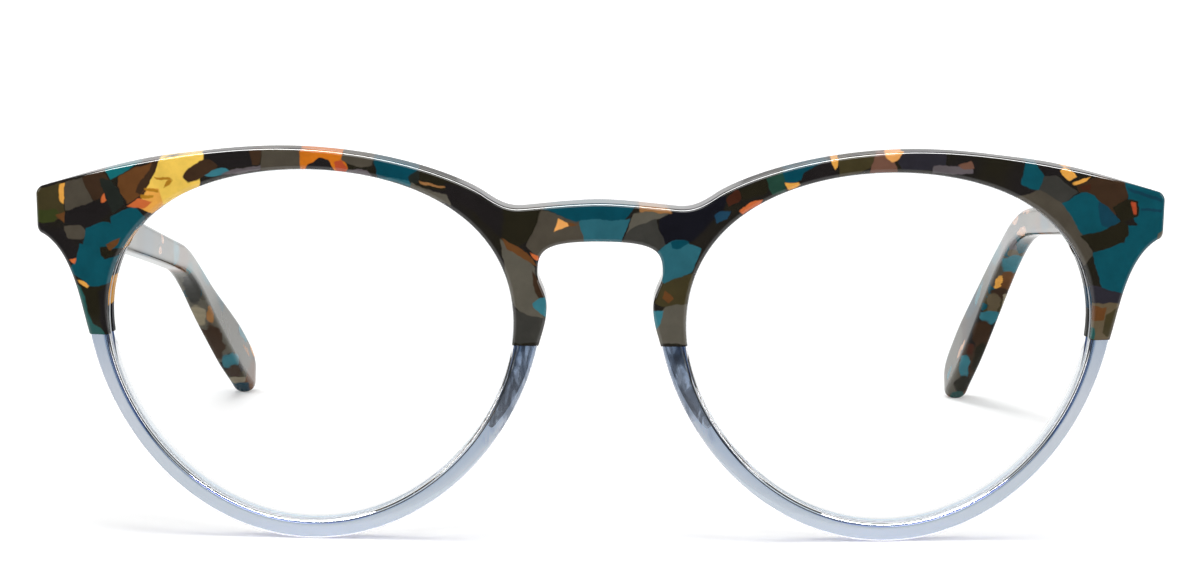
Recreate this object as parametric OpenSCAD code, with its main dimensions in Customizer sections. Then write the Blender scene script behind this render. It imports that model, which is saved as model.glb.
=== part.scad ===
// Round acetate eyeglasses, open and standing on the rims and the temple tips.
// The front is a dark upper half butt-joined to two clear lower rims.
// Left and right are the wearer's. The wearer's left is +X, and the front faces -Y.
// Front, temples and hinges are laid out square to the front. It is leaned only when it is stood up.

/* [Lens openings] */
// Width of one lens opening
lens_w = 48.6; // [45:0.1:52]
// Height of one lens opening
lens_h = 42.6; // [39:0.1:46]
// How far the widest line lies above the middle of the opening
lens_rise = 3.3; // [0:0.1:5]
// Gap between the two openings across the nose
bridge_gap = 20.5; // [19:0.1:24]

/* [Rims] */
// Rim below the lens
rim_bottom = 2.2; // [1.6:0.1:3.5]
// Rim above the lens
rim_top = 2.5; // [1.6:0.1:3.5]
// Rim beside the lens, on the temple side at the joint line
rim_temple = 2.4; // [1.8:0.1:3.5]
// Rim beside the lens, on the nose side at the joint line
rim_nose = 3.2; // [2.8:0.1:4.2]
// Rim on the nose side, lower down
rim_nose_low = 2.6; // [2:0.1:3.4]
// Rim on the temple side, lower down
rim_temple_low = 1.9; // [1.6:0.1:3]
// Thickness of the front
front_t = 3.8; // [3:0.1:5]
// Height of the line where the dark half meets the clear rims
joint_z = 24.2; // [21:0.1:27]
// Bevel around the lens openings
edge_in = 0.4; // [0.2:0.05:0.6]
// Bevel around the outside
edge_out = 0.3; // [0.2:0.05:0.5]

/* [Face form] */
// Radius of the front around the face
wrap_r = 320; // [220:10:600]
// Radius of the front from top to bottom
face_r = 400; // [300:10:900]

/* [Bridge] */
// Height of the middle of the bridge's upper edge
bridge_top = 41.3; // [39.5:0.1:42.5]
// Depth of the two dips beside it
bridge_dip = 0.7; // [0.2:0.1:1.5]
// Height of the arch over the nose
arch_top = 36.7; // [35.6:0.1:37.2]
// Width of the keyhole at its widest
keyhole_w = 14.8; // [13.5:0.1:15.6]
// Width of the keyhole at its waist
waist_w = 12.6; // [11.5:0.1:13.6]
// How much thicker the bridge is than the rims
bridge_extra = 0.9; // [0:0.1:1.5]

/* [End pieces] */
// Width of the whole front
front_w = 134.8; // [131:0.2:142]
// Height of an end piece's upper corner
end_top = 41.9; // [40.8:0.1:43]
// Height of an end piece's lower corner
end_low = 36.1; // [35:0.1:37]
// Thickness of an end piece at its outer edge
end_t = 3.2; // [2.6:0.1:4]

/* [Lenses] */
// Thickness of a lens
lens_t = 1.9; // [1.4:0.1:2.4]
// Distance from the front face to the middle of the lens groove
groove_at = 1.8; // [1.5:0.1:2.2]
// Depth of the lens groove
groove_d = 0.6; // [0.4:0.05:0.9]
// Width of the lens groove at its mouth
groove_w = 1; // [0.7:0.05:1.3]

/* [Nose pads] */
// How far a pad stands behind the rim
pad_h = 3.4; // [2:0.1:4.5]
// Height of a pad's upper end
pad_top = 27.2; // [25.5:0.1:28.5]
// Height of a pad's lower end
pad_low = 11.6; // [10:0.1:15]

/* [Temples] */
// Length of a temple along its middle
temple_len = 147; // [137:1:152]
// Distance from the front end of a temple to the middle of its bend
bend_at = 102; // [96:1:110]
// Angle through which the left tip bends down (the right tip's follows from its drop)
bend_angle = 31; // [26:0.5:36]
// Radius of the bend
bend_r = 70; // [40:1:80]
// Angle by which the left temple drops away from square to the front
panto_left = 10.9; // [9:0.1:13]
// Angle by which the right temple drops, as worn in
panto_right = 14.2; // [10.5:0.1:15]
// Height of a temple at the hinge
temple_h = 5.4; // [5:0.1:6]
// Height of a temple at the bend
temple_h_bend = 3.6; // [2.8:0.1:4.5]
// Height of a temple's tip
temple_h_tip = 6.2; // [4.6:0.1:7]
// Thickness of a temple at the hinge
temple_t = 4.2; // [3.6:0.1:4.6]
// Thickness of a temple behind the hinge
temple_t_back = 3.2; // [2.6:0.1:3.6]
// Slope by which a temple closes in along the head
toe_in = 0.07; // [0:0.005:0.08]
// Further slope of the tip, behind the ear
toe_in_tip = 0.08; // [0.05:0.01:0.2]

/* [Hinges] */
// Height of the five hinge knuckles together
hinge_h = 5.2; // [4.8:0.1:5.6]
// Diameter of a knuckle
knuckle_d = 2.9; // [2.6:0.1:3.2]
// Diameter of the hinge screw
screw_d = 1.4; // [1.2:0.1:1.6]
// Diameter of the screw's head
screw_head_d = 2.3; // [2:0.1:2.4]
// Length of the leaf let into a temple
leaf_len = 8; // [6:0.5:10]
// Thickness of the leaves
leaf_t = 1.1; // [0.9:0.1:1.3]

/* [Core wires] */
// Diameter of the wire inside a temple
wire_d = 1.2; // [0.9:0.1:1.4]
// Length of temple beyond the wire's end
wire_short = 9; // [7:1:20]

/* [Fits] */
// Gap between a temple's end and the front when it is open
temple_gap = 0.12; // [0.05:0.01:0.3]
// Gap between neighbouring knuckles
knuckle_gap = 0.08; // [0.05:0.01:0.12]
// Clearance around the screw in a temple's knuckles
screw_fit = 0.04; // [0.02:0.01:0.08]
// Clearance around parts that are let in or glued
seat_fit = 0.02; // [0.01:0.01:0.05]
// Clearance between a lens and its groove
lens_fit = 0.06; // [0.03:0.01:0.12]

/* [Hidden] */

$fn = 32;
left = 1;
right = -1;

// Middle of a lens opening, and the height of the front
lens_x = (bridge_gap + lens_w) / 2;
lens_z = rim_bottom + lens_h / 2;
front_h = rim_bottom + lens_h + rim_top;
end_x = front_w / 2;

// Hinge: the axis stands behind the end piece and inside the temple
hinge_z = (end_top + end_low) / 2 + 0.1;
temple_in = end_x - 0.9 - temple_t;
axis_out = knuckle_d / 2 + 0.55;
seat_y = end_x * end_x / (2 * wrap_r) + end_t;
butt_y = seat_y + temple_gap;
axis_x = temple_in - axis_out;
axis_y = seat_y + axis_out + 0.2;
leaf_proud = 0.2;
leaf_w = 3.6;
leaf_h = 4.2;

// Small helpers
function lerp(a, b, t) = a + (b - a) * t;
function clamp01(t) = min(1, max(0, t));
function smooth(t) = let (c = clamp01(t)) c * c * (3 - 2 * c);
function unit(v) = v / norm(v);
function turned(v) = [v.y, -v.x];
function bezier(p, t) = (1 - t) * (1 - t) * (1 - t) * p[0] + 3 * (1 - t) * (1 - t) * t * p[1]
  + 3 * (1 - t) * t * t * p[2] + t * t * t * p[3];
function curve(p, steps) = [for (k = [1:steps]) bezier(p, k / steps)];
function spread(from, to, steps) = [for (k = [1:steps]) lerp(from, to, k / steps)];

// Outline of a lens opening: an ellipse whose sides are lifted
function opening(a) = [lens_x + lens_w / 2 * cos(a),
  lens_z + lens_h / 2 * sin(a) + lens_rise * cos(a) * cos(a)];
function opening_out(a) = unit([lens_h / 2 * cos(a) - lens_rise * sin(2 * a), lens_w / 2 * sin(a)]);

// Angle at which the opening crosses the joint line, found by halving
function cross_angle(lo, hi, n = 24) = let (m = (lo + hi) / 2)
  n == 0 ? m : opening(m).y < joint_z ? cross_angle(m, hi, n - 1) : cross_angle(lo, m, n - 1);
a_temple = cross_angle(-60, 30);
a_nose = 180 - a_temple;

// Front surface, and points measured into its thickness
function face_y(x, z) = x * x / (2 * wrap_r) + (z - joint_z) * (z - joint_z) / (2 * face_r);
function at(p, d) = [p.x, face_y(p.x, p.y), p.y]
  + d * unit([-p.x / wrap_r, 1, -(p.y - joint_z) / face_r]);

// The front is thicker over the nose, and its back is milled flat behind the end pieces
function thickness(p) = front_t + bridge_extra * exp(-pow(p.x / 8, 2) - pow((bridge_top - p.y) / 14, 2));
function flatness(p) = smooth((p.x - axis_x + 13) / 10) * smooth((p.y - end_low + 9) / 8);
function back(p, d) = let (q = at(p, thickness(p) - d))
  [q.x, lerp(q.y, seat_y - d, flatness(p)), q.z];

// Outer outline of the upper half of one side, from the temple side of the joint to the nose side
joint_out = [opening(a_temple).x + rim_temple, joint_z];
joint_in = [opening(a_nose).x - rim_nose, joint_z];
corner_low = [end_x - 0.8, end_low];
corner_top = [end_x - 0.8, end_top];
side_low = [end_x - 0.12, end_low + 1];
crown = [lens_x + 2.5, front_h];
dip = [bridge_gap / 2 - 0.75, bridge_top - bridge_dip];
brow = dip + [4.5, 1.7];
bulge = [keyhole_w / 2, arch_top - 3.7];
waist = [waist_w / 2, arch_top - 7.9];
outer_path = concat([joint_out],
  curve([joint_out, joint_out + [1.15, 4], corner_low - [3.6, 2.1], corner_low], 8),
  curve([corner_low, corner_low + [0.4, 0.1], side_low - [0.03, 0.5], side_low], 3),
  [[end_x, end_top - 1.1]],
  curve([[end_x, end_top - 1.1], [end_x, end_top - 0.6], corner_top + [0.4, -0.1], corner_top], 3),
  curve([corner_top, corner_top + [-0.6, 0.2], crown + [13.6, 0], crown], 12),
  curve([crown, crown - [12.6, 0], brow + [2, 1.3], brow], 10),
  curve([brow, brow - [1.8, 1.2], dip + [1.7, -0.05], dip], 3),
  curve([dip, dip + [-2.9, 0.25], [3, bridge_top], [0, bridge_top]], 5),
  [[0, arch_top]],
  curve([[0, arch_top], [keyhole_w * 0.45, arch_top], bulge + [0, 2.6], bulge], 8),
  curve([bulge, bulge - [-0.05, 1.4], waist + [0, 1.8], waist], 6),
  curve([waist, waist - [0, 1.8], joint_in + [-0.35, 1.4], joint_in], 4));
// Angles of the lens opening that face those points
inner_angles = concat([a_temple], spread(a_temple, 16, 8), spread(16, 28, 7), spread(28, 82, 12),
  spread(82, 138, 10), spread(138, 143, 3), spread(143, 147, 5), [149], spread(149, 168, 8),
  spread(168, 176, 6), spread(176, a_nose, 4));
mid_top = 8 + 7 + 12 + 10 + 3 + 5;

// A station is a place on the rim: inner point, outer point and the directions into the material there
upper_stations = let (n = len(outer_path)) [for (k = [0:n - 1]) let (a = inner_angles[k])
  k == 0 ? [opening(a), joint_out, [1, 0], [-1, 0]] :
  k == n - 1 ? [opening(a), joint_in, [-1, 0], [1, 0]] :
  k == mid_top ? [opening(a), outer_path[k], opening_out(a), [0, -1]] :
  k == mid_top + 1 ? [opening(a), outer_path[k], opening_out(a), [0, 1]] :
  [opening(a), outer_path[k], opening_out(a), -turned(unit(outer_path[k + 1] - outer_path[k - 1]))]];

// Lower rim: an even band that widens towards the joint
lower_steps = 30;
function near_joint(a) = pow(max(0, 1 - min(a - a_nose, 360 + a_temple - a) / 30), 2);
function lower_w(a) = let (c = pow(cos(a), 2), nose = a < 270)
  lerp(lerp(rim_bottom, nose ? rim_nose_low : rim_temple_low, c), nose ? rim_nose : rim_temple,
  near_joint(a));
function lower_dir(a) = unit(lerp(opening_out(a), [a < 270 ? -1 : 1, 0], near_joint(a)));
lower_stations = [for (k = [0:lower_steps]) let (a = lerp(a_nose, 360 + a_temple, k / lower_steps),
  d = lower_dir(a)) [opening(a), opening(a) + lower_w(a) * d, d, -d]];

// Cross-section of the front at a station, round from the bottom of the lens groove
function section(s) = let (i = s[0], o = s[1], wi = i + edge_in * s[2], wo = o + edge_out * s[3],
  m = [for (t = [0.27, 0.52, 0.76]) lerp(wi, wo, t)])
  [at(i + groove_d * s[2], groove_at), at(i, groove_at - groove_w / 2), at(i, edge_in), at(wi, 0),
   at(m[0], 0), at(m[1], 0), at(m[2], 0), at(wo, 0), at(o, edge_out), back(o, edge_out), back(wo, 0),
   back(m[2], 0), back(m[1], 0), back(m[0], 0), back(wi, 0), back(i, edge_in),
   at(i, groove_at + groove_w / 2)];
ring = 17;
outer_side = [7, 8, 9];

// Side faces of a row of closed sections, and the two faces that close it
function tube_faces(count, m, first = 0) = [for (k = [0:count - 2]) for (j = [0:m - 1])
  let (a = first + k * m + j, b = first + k * m + (j + 1) % m) [a, a + m, b + m, b]];
function cap_low(m, first = 0) = [[for (j = [0:m - 1]) first + j]];
function cap_high(count, m, first = 0) = [[for (j = [m:-1:1]) first + (count - 1) * m + j % m]];
function flipped(faces) = [for (f = faces) [for (j = [len(f) - 1:-1:0]) f[j]]];
module tube(sections) {
  m = len(sections[0]);
  n = len(sections);
  polyhedron([for (s = sections) each s], concat(tube_faces(n, m), cap_low(m), cap_high(n, m)));
}

// Temple: its middle line drops at one angle, bends round an arc and runs straight again.
// c holds the drop and the bend of one side
function bend_len(c) = bend_r * c[1] * PI / 180;
function bend_from(c) = bend_at - bend_len(c) / 2;
function bend_to(c) = bend_at + bend_len(c) / 2;
function drop_angle(c, s) = c[0] + c[1] * clamp01((s - bend_from(c)) / bend_len(c));
function down(a) = [cos(a), -sin(a)];
function run(c, s) = let (a = drop_angle(c, s)) min(s, bend_from(c)) * down(c[0])
  + bend_r * [sin(a) - sin(c[0]), cos(a) - cos(c[0])] + max(0, s - bend_to(c)) * down(c[0] + c[1]);
function soft(t, w) = t < 0 ? 0 : t < w ? t * t / (2 * w) : t - w / 2;
hinge_flat = leaf_len + 4;
function inward(s) = toe_in * soft(s - hinge_flat, 15) + toe_in_tip * soft(s - bend_at, 20);
function temple_thick(s) = lerp(temple_t, temple_t_back, smooth((s - hinge_flat) / 24));
function temple_high(s) = s < bend_at ? lerp(temple_h, temple_h_bend, smooth(s / bend_at))
  : lerp(temple_h_bend, temple_h_tip, smooth((s - bend_at) / (temple_len - bend_at - 6)));
tip_r = 0.42 * temple_h_tip;
temple_round = 0.85;
function temple_s(c) = concat([0, 4, 8, hinge_flat], [for (s = [hinge_flat + 4:4:hinge_flat + 28]) s],
  spread(hinge_flat + 28, bend_from(c), 3), spread(bend_from(c), bend_to(c), 8),
  spread(bend_to(c), temple_len - wire_short, 3), [temple_len - wire_short / 2 - tip_r / 2]);
function temple_frame(c, s) = let (p = run(c, s), v = drop_angle(c, s) * clamp01(s / 15))
  [[temple_in + temple_thick(s) / 2 - inward(s), butt_y + p[0], hinge_z + p[1]], [0, sin(v), cos(v)]];
function temple_ring(c, s, w, h, r) = let (f = temple_frame(c, s), a = w / 2, b = h / 2, q = r * 0.3)
  [for (k = [[a, b - r], [a, r - b], [a - q, q - b], [a - r, -b], [r - a, -b], [q - a, q - b],
   [-a, r - b], [-a, b - r], [q - a, b - q], [r - a, b], [a - r, b], [a - q, b - q]])
   f[0] + [k.x, 0, 0] + k.y * f[1]];
function temple_body(c) = concat(
  [for (s = temple_s(c)) temple_ring(c, s, temple_thick(s), temple_high(s), temple_round)],
  [for (a = [0, 25, 50, 70, 88]) let (s = temple_len - tip_r + tip_r * sin(a), k = 1 - cos(a))
   temple_ring(c, s, temple_thick(s) * (1 - k * 0.6), temple_high(s) - 2 * tip_r * k,
   temple_round * (1 - k * 0.55))]);
function wire_s(c) = [for (s = temple_s(c)) if (s <= temple_len - wire_short) s];
function wire_ring(c, s, d) = let (f = temple_frame(c, s))
  [for (j = [0:11]) let (a = 75 - 30 * j) f[0] + d / 2 * cos(a) * [1, 0, 0] + d / 2 * sin(a) * f[1]];

// Standing up: the lean at which the left tip meets the plane on which the rims stand
rim_foot = at([lens_x, 0], edge_out);
function tip_lean(c) = -min([for (r = temple_body(c)) for (p = r)
  atan2(p.z - rim_foot.z, p.y - rim_foot.y)]);
set_left = [panto_left, bend_angle];
lean = tip_lean(set_left);
// The right temple bends as far as it takes to bring its tip to the same plane
function match_bend(lo, hi, n = 18) = let (m = (lo + hi) / 2) n == 0 ? m
  : tip_lean([panto_right, m]) < lean ? match_bend(m, hi, n - 1) : match_bend(lo, m, n - 1);
set_right = [panto_right, match_bend(4, 50)];
function temple_set(s) = s == left ? set_left : set_right;
function leaned(p) = [p.x, p.y * cos(lean) - p.z * sin(lean), p.y * sin(lean) + p.z * cos(lean)];
front_points = [for (s = upper_stations) each section(s)];
tip_points = [for (c = [set_left, set_right]) for (r = temple_body(c)) each r];
stand_y = (min([for (p = front_points) leaned(p).y]) + max([for (p = tip_points) leaned(p).y])) / 2;
stand_z = leaned(rim_foot).z;
module standing() translate([0, -stand_y, -stand_z]) rotate([lean, 0, 0]) children();
module side(s) standing() mirror([s == right ? 1 : 0, 0, 0]) children();
module at_hinge() translate([axis_x, axis_y, hinge_z]) children();

// Upper half of the front: both sides meet in one skin over the nose
upper_n = len(upper_stations);
function half_faces() = concat([for (k = [0:upper_n - 2]) for (j = [0:ring - 1])
  if (k != mid_top || len(search(j, outer_side)) == 0)
  let (a = k * ring + j, b = k * ring + (j + 1) % ring) [a, a + ring, b + ring, b]],
  cap_low(ring), cap_high(upper_n, ring));
function twin(v) = abs(front_points[v].x) < 0.000001 ? v : v + len(front_points);
module upper_skin() {
  polyhedron(concat(front_points, [for (p = front_points) [-p.x, p.y, p.z]]),
    concat(half_faces(), [for (f = flipped(half_faces())) [for (v = f) twin(v)]]));
}
module leaf_plate(w, h, t) {
  r = 0.8;
  linear_extrude(t) {
    square([w - 2 * r, h], center = true);
    square([w, h - 2 * r], center = true);
    for (x = [-1, 1], y = [-1, 1]) translate([x * (w / 2 - r), y * (h / 2 - r)]) circle(r);
  }
}
module front_leaf_plate(grow = 0) at_hinge() translate([0, seat_y - axis_y, 0]) rotate([90, 0, 0])
  translate([0, 0, -leaf_proud]) leaf_plate(leaf_w + 2 * grow, leaf_h + 2 * grow, leaf_t + grow);
module temple_leaf_plate(c, grow = 0) at_hinge() rotate([-c[0], 0, 0])
  translate([axis_out - leaf_proud, leaf_len / 2 - 1.2, 0]) rotate([0, 90, 0])
  leaf_plate(leaf_h + 2 * grow, leaf_len + 2 * grow, leaf_t + grow);

module front_upper() color("#1f4a52") standing() difference() {
  upper_skin();
  front_leaf_plate(seat_fit);
  mirror([1, 0, 0]) front_leaf_plate(seat_fit);
}
module lower_rim(s) color("#c7d6e5", 0.6) side(s) tube([for (t = lower_stations) section(t)]);

// Nose pad: glued behind the rim, its face splayed away from the nose
pad_path = concat(
  [for (k = [upper_n - 6:upper_n - 2]) if (upper_stations[k][1].y <= pad_top) upper_stations[k]],
  [for (t = lower_stations) if (t[1].x < lens_x && t[1].y >= pad_low) t]);
pad_rows = 16;
function pad_place(a) = let (n = len(pad_path) - 1, u = n * (1 - cos(a)) / 2, k = min(n - 1, floor(u)))
  [for (j = [0, 1]) lerp(pad_path[k][j], pad_path[k + 1][j], u - k)];
function pad_section(a) = let (t = pad_place(a), w = norm(t[0] - t[1]), u = (t[0] - t[1]) / w,
  h = pad_h * (0.05 + 0.95 * pow(sin(a), 1.4)), g = 0.3 + 0.7 * pow(sin(a), 0.7))
  [for (q = [[0.35, 0], [0.5, 0.3], [0.8, 0.6], [1.25, 0.86], [1.75, 0.98], [2.2, 0.97], [w - 0.6, 0.8],
   [w - 0.35, 0.4], [w - 0.4, 0]]) back(t[1] + lerp(w / 2, q[0], g) * u, -seat_fit - q[1] * h)];
module nose_pad(s) color("#c2d0df", 0.7) side(s)
  tube([for (k = [0:pad_rows]) pad_section(180 * k / pad_rows)]);

// Lens: follows the front's curve, with a bevelled edge in the groove
lens_stations = concat(upper_stations, [for (k = [1:lower_steps - 1]) lower_stations[k]]);
bevel_w = groove_w / 2 - 0.1;
function lens_ring(r) = let (c = [lens_x, lens_z]) r == 0
  ? [for (t = lens_stations) at(t[0] + (groove_d - lens_fit) * t[2], groove_at)]
  : [for (t = lens_stations) let (p = t[0] - lens_fit * t[2], f = abs(r))
     at(f > 2 ? lerp(p, c, 0.5) : p, groove_at + sign(r) * (f > 1 ? lens_t / 2 : bevel_w))];
module lens(s) {
  n = len(lens_stations);
  c = [lens_x, lens_z];
  rows = [-3, -2, -1, 0, 1, 2, 3];
  last = len(rows) - 1;
  pts = concat([for (r = rows) each lens_ring(r)],
    [at(c, groove_at - lens_t / 2), at(c, groove_at + lens_t / 2)]);
  color("#e8f0f4", 0.25) side(s) polyhedron(pts, concat(flipped(tube_faces(len(rows), n)),
    [for (j = [0:n - 1]) [(j + 1) % n, j, len(pts) - 2]],
    [for (j = [0:n - 1]) [last * n + j, last * n + (j + 1) % n, len(pts) - 1]]));
}

// Hinge: five knuckles, three on the front leaf and two on the temple leaf
pitch = (hinge_h + knuckle_gap) / 5;
knuckle_h = pitch - knuckle_gap;
head_h = 0.5;
function knuckle_z(k) = -hinge_h / 2 + k * pitch;
module knuckle(k, dir, reach, bore) translate([0, 0, knuckle_z(k)]) difference() {
  union() {
    cylinder(d = knuckle_d, h = knuckle_h);
    rotate(dir) translate([0, -knuckle_d * 0.42, 0]) cube([reach, knuckle_d * 0.84, knuckle_h]);
  }
  translate([0, 0, -1]) cylinder(d = bore, h = knuckle_h + 2);
}
module front_hinge(s) color("#c9c9cc") side(s) {
  difference() {
    union() {
      front_leaf_plate();
      at_hinge() for (k = [0, 2, 4])
        knuckle(k, -90, axis_y - seat_y - leaf_proud / 2, screw_d + 2 * seat_fit);
    }
    at_hinge() translate([0, 0, hinge_h / 2 - head_h]) cylinder(d = screw_head_d + 2 * seat_fit, h = 2);
  }
}
module temple_hinge(s) color("#bdbdc0") side(s) {
  temple_leaf_plate(temple_set(s));
  at_hinge() for (k = [1, 3]) knuckle(k, 0, axis_out - leaf_proud / 2, screw_d + 2 * screw_fit);
}
module hinge_screw(s) color("#9a9a9e") side(s) at_hinge() difference() {
  union() {
    translate([0, 0, -hinge_h / 2]) cylinder(d = screw_d, h = hinge_h);
    translate([0, 0, hinge_h / 2 - head_h]) cylinder(d = screw_head_d, h = head_h);
  }
  translate([-2, -0.15, hinge_h / 2 - 0.25]) cube([4, 0.3, 1]);
}

// Temple: one skin with the channel for the wire, and the hinge leaf let into its inner face
module temple_skin(c) {
  m = 12;
  body = temple_body(c);
  channel = [for (s = wire_s(c)) wire_ring(c, s, wire_d + 2 * seat_fit)];
  nb = len(body);
  nc = len(channel);
  c0 = nb * m;
  polyhedron([for (r = concat(body, channel)) each r], concat(
    tube_faces(nb, m), cap_high(nb, m),
    flipped(tube_faces(nc, m, c0)), flipped(cap_high(nc, m, c0)),
    [for (j = [0:m - 1]) let (k = (j + 1) % m) [c0 + k, c0 + j, j, k]]));
}
module temple(s) color("#33434a") side(s) difference() {
  temple_skin(temple_set(s));
  temple_leaf_plate(temple_set(s), seat_fit);
}
module core_wire(s) color("#b5b5b8") side(s) tube([for (t = wire_s(temple_set(s)))
  wire_ring(temple_set(s), t, wire_d)]);

front_upper();
lower_rim(left);  // lower_rim_left
lower_rim(right);  // lower_rim_right
nose_pad(left);  // nose_pad_left
nose_pad(right);  // nose_pad_right
lens(left);  // lens_left
lens(right);  // lens_right
front_hinge(left);  // front_hinge_left
front_hinge(right);  // front_hinge_right
hinge_screw(left);  // hinge_screw_left
hinge_screw(right);  // hinge_screw_right
temple(left);  // temple_left
temple(right);  // temple_right
temple_hinge(left);  // temple_hinge_left
temple_hinge(right);  // temple_hinge_right
core_wire(left);  // core_wire_left
core_wire(right);  // core_wire_right
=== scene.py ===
import math

import bpy
import numpy as np
from mathutils import Euler, Matrix, Vector


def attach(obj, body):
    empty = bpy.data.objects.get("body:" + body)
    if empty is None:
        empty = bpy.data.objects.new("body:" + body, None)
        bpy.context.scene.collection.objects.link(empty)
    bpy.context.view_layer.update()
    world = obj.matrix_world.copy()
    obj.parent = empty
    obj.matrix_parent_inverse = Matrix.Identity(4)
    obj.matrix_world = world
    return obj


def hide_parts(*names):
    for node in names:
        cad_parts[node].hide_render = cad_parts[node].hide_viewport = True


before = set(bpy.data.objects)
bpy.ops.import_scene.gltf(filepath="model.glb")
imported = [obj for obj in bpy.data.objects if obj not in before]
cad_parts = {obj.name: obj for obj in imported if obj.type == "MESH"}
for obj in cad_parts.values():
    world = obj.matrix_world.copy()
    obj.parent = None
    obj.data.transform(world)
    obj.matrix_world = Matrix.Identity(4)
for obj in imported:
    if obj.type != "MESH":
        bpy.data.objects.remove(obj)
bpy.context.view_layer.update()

MM = 0.001

# ---------------------------------------------------------------- shape
# The same named sizes as in the part's source, in mm and degrees.
LENS_W, LENS_H, LENS_RISE, GAP = 48.6, 42.6, 3.3, 20.5
RIM_BOTTOM, RIM_TOP, RIM_TEMPLE, RIM_NOSE = 2.2, 2.5, 2.4, 3.2
RIM_NOSE_LOW, RIM_TEMPLE_LOW = 2.6, 1.9
FRONT_T, JOINT_Z = 3.8, 24.2
WRAP_R, FACE_R = 320.0, 400.0
BRIDGE_TOP, BRIDGE_DIP, ARCH_TOP, KEYHOLE_W, WAIST_W, BRIDGE_EXTRA = 41.3, 0.7, 36.7, 14.8, 12.6, 0.9
FRONT_W, END_TOP, END_LOW, END_T = 134.8, 41.9, 36.1, 3.2
LENS_T, GROOVE_AT, GROOVE_D, GROOVE_W = 1.9, 1.8, 0.6, 1.0
PAD_H, PAD_TOP, PAD_LOW = 3.4, 27.2, 11.6
TEMPLE_LEN, BEND_AT, BEND_R = 147.0, 102.0, 70.0
TEMPLE_H, TEMPLE_H_BEND, TEMPLE_H_TIP = 5.4, 3.6, 6.2
TEMPLE_T, TEMPLE_T_BACK, TOE_IN, TOE_IN_TIP = 4.2, 3.2, 0.07, 0.08
TIP_R = 0.42 * TEMPLE_H_TIP
WIRE_D, WIRE_SHORT, SEAT_FIT, LENS_FIT, TEMPLE_GAP, LEAF_LEN = 1.2, 9.0, 0.02, 0.06, 0.12, 8.0
KNUCKLE_D, AXIS_ROOM, TEMPLE_INSET, HINGE_RISE = 2.9, 0.55, 0.9, 0.1
SET_LEFT, SET_RIGHT = (10.9, 31.0), (14.2, 18.6439)  # drop and bend of each temple
LEAN, STAND_Y, STAND_Z = 4.84826, 72.5216, 0.26262

LENS_X = (GAP + LENS_W) / 2
LENS_Z = RIM_BOTTOM + LENS_H / 2
FRONT_H = RIM_BOTTOM + LENS_H + RIM_TOP
END_X = FRONT_W / 2
HINGE_Z = (END_TOP + END_LOW) / 2 + HINGE_RISE
TEMPLE_IN = END_X - TEMPLE_INSET - TEMPLE_T
AXIS_X = TEMPLE_IN - KNUCKLE_D / 2 - AXIS_ROOM
SEAT_Y = END_X * END_X / (2 * WRAP_R) + END_T
BUTT_Y = SEAT_Y + TEMPLE_GAP
STANDING = Matrix.Translation((0, -STAND_Y * MM, -STAND_Z * MM)) @ Matrix.Rotation(math.radians(LEAN), 4, "X")
TINY = 1e-6

# Stations along each stretch of the front's outline, from the temple side of the joint line to its nose side
FLANK, CORNER, CROWN_OUT, CROWN_IN, BROW, BRIDGE, KEYHOLE, WAIST, FOOT = 8, 3, 12, 10, 3, 5, 8, 6, 4
LOWER_STEPS = 30  # stations of a lower rim
FINE, FINE_LOWER = 4, 5  # stations here for each one of the source
JOINT_FADE = 30  # degrees over which a lower rim widens towards the joint line
# The front is thicker over the nose, and its back is milled flat behind the end pieces
THICK_X, THICK_Z = 8, 14
FLAT_IN, FLAT_IN_RUN, FLAT_LOW, FLAT_LOW_RUN = 13, 10, 9, 8
# Rounding of the edges at the openings and outside, and the steps round an edge and across a face
ROUND_IN, ROUND_OUT, ARC_STEPS, FACE_STEPS = 0.6, 0.45, 6, 9


def smooth(t):
    c = np.clip(t, 0, 1)
    return c * c * (3 - 2 * c)


def unit(v):
    v = np.asarray(v, float)
    return v / np.linalg.norm(v, axis=-1, keepdims=True)


def bezier(p, steps):
    t = (np.arange(1, steps + 1) / steps)[:, None]
    p = np.asarray(p, float)
    return (1 - t) ** 3 * p[0] + 3 * (1 - t) ** 2 * t * p[1] + 3 * (1 - t) * t * t * p[2] + t ** 3 * p[3]


def spread(a, b, steps):
    return a + (b - a) * np.arange(1, steps + 1) / steps


def opening(a):
    """Outline of a lens opening: an ellipse whose sides are lifted."""
    c, s = np.cos(np.radians(a)), np.sin(np.radians(a))
    return np.stack([LENS_X + LENS_W / 2 * c, LENS_Z + LENS_H / 2 * s + LENS_RISE * c * c], -1)


def opening_out(a):
    r = np.radians(a)
    return unit(np.stack([LENS_H / 2 * np.cos(r) - LENS_RISE * np.sin(2 * r), LENS_W / 2 * np.sin(r)], -1))


def cross_angle():
    """Angle at which the opening crosses the joint line, found by halving."""
    lo, hi = -60.0, 30.0
    for _ in range(40):
        m = (lo + hi) / 2
        lo, hi = (m, hi) if opening(m)[1] < JOINT_Z else (lo, m)
    return lo


A_TEMPLE = cross_angle()
A_NOSE = 180 - A_TEMPLE


def at(p, d):
    """Points d mm into the front, below the points p of its face."""
    x, z = p[..., 0], p[..., 1]
    y = x * x / (2 * WRAP_R) + (z - JOINT_Z) ** 2 / (2 * FACE_R)
    n = unit(np.stack([-x / WRAP_R, np.ones_like(x), -(z - JOINT_Z) / FACE_R], -1))
    return np.stack([x, y, z], -1) + np.asarray(d)[..., None] * n


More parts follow.
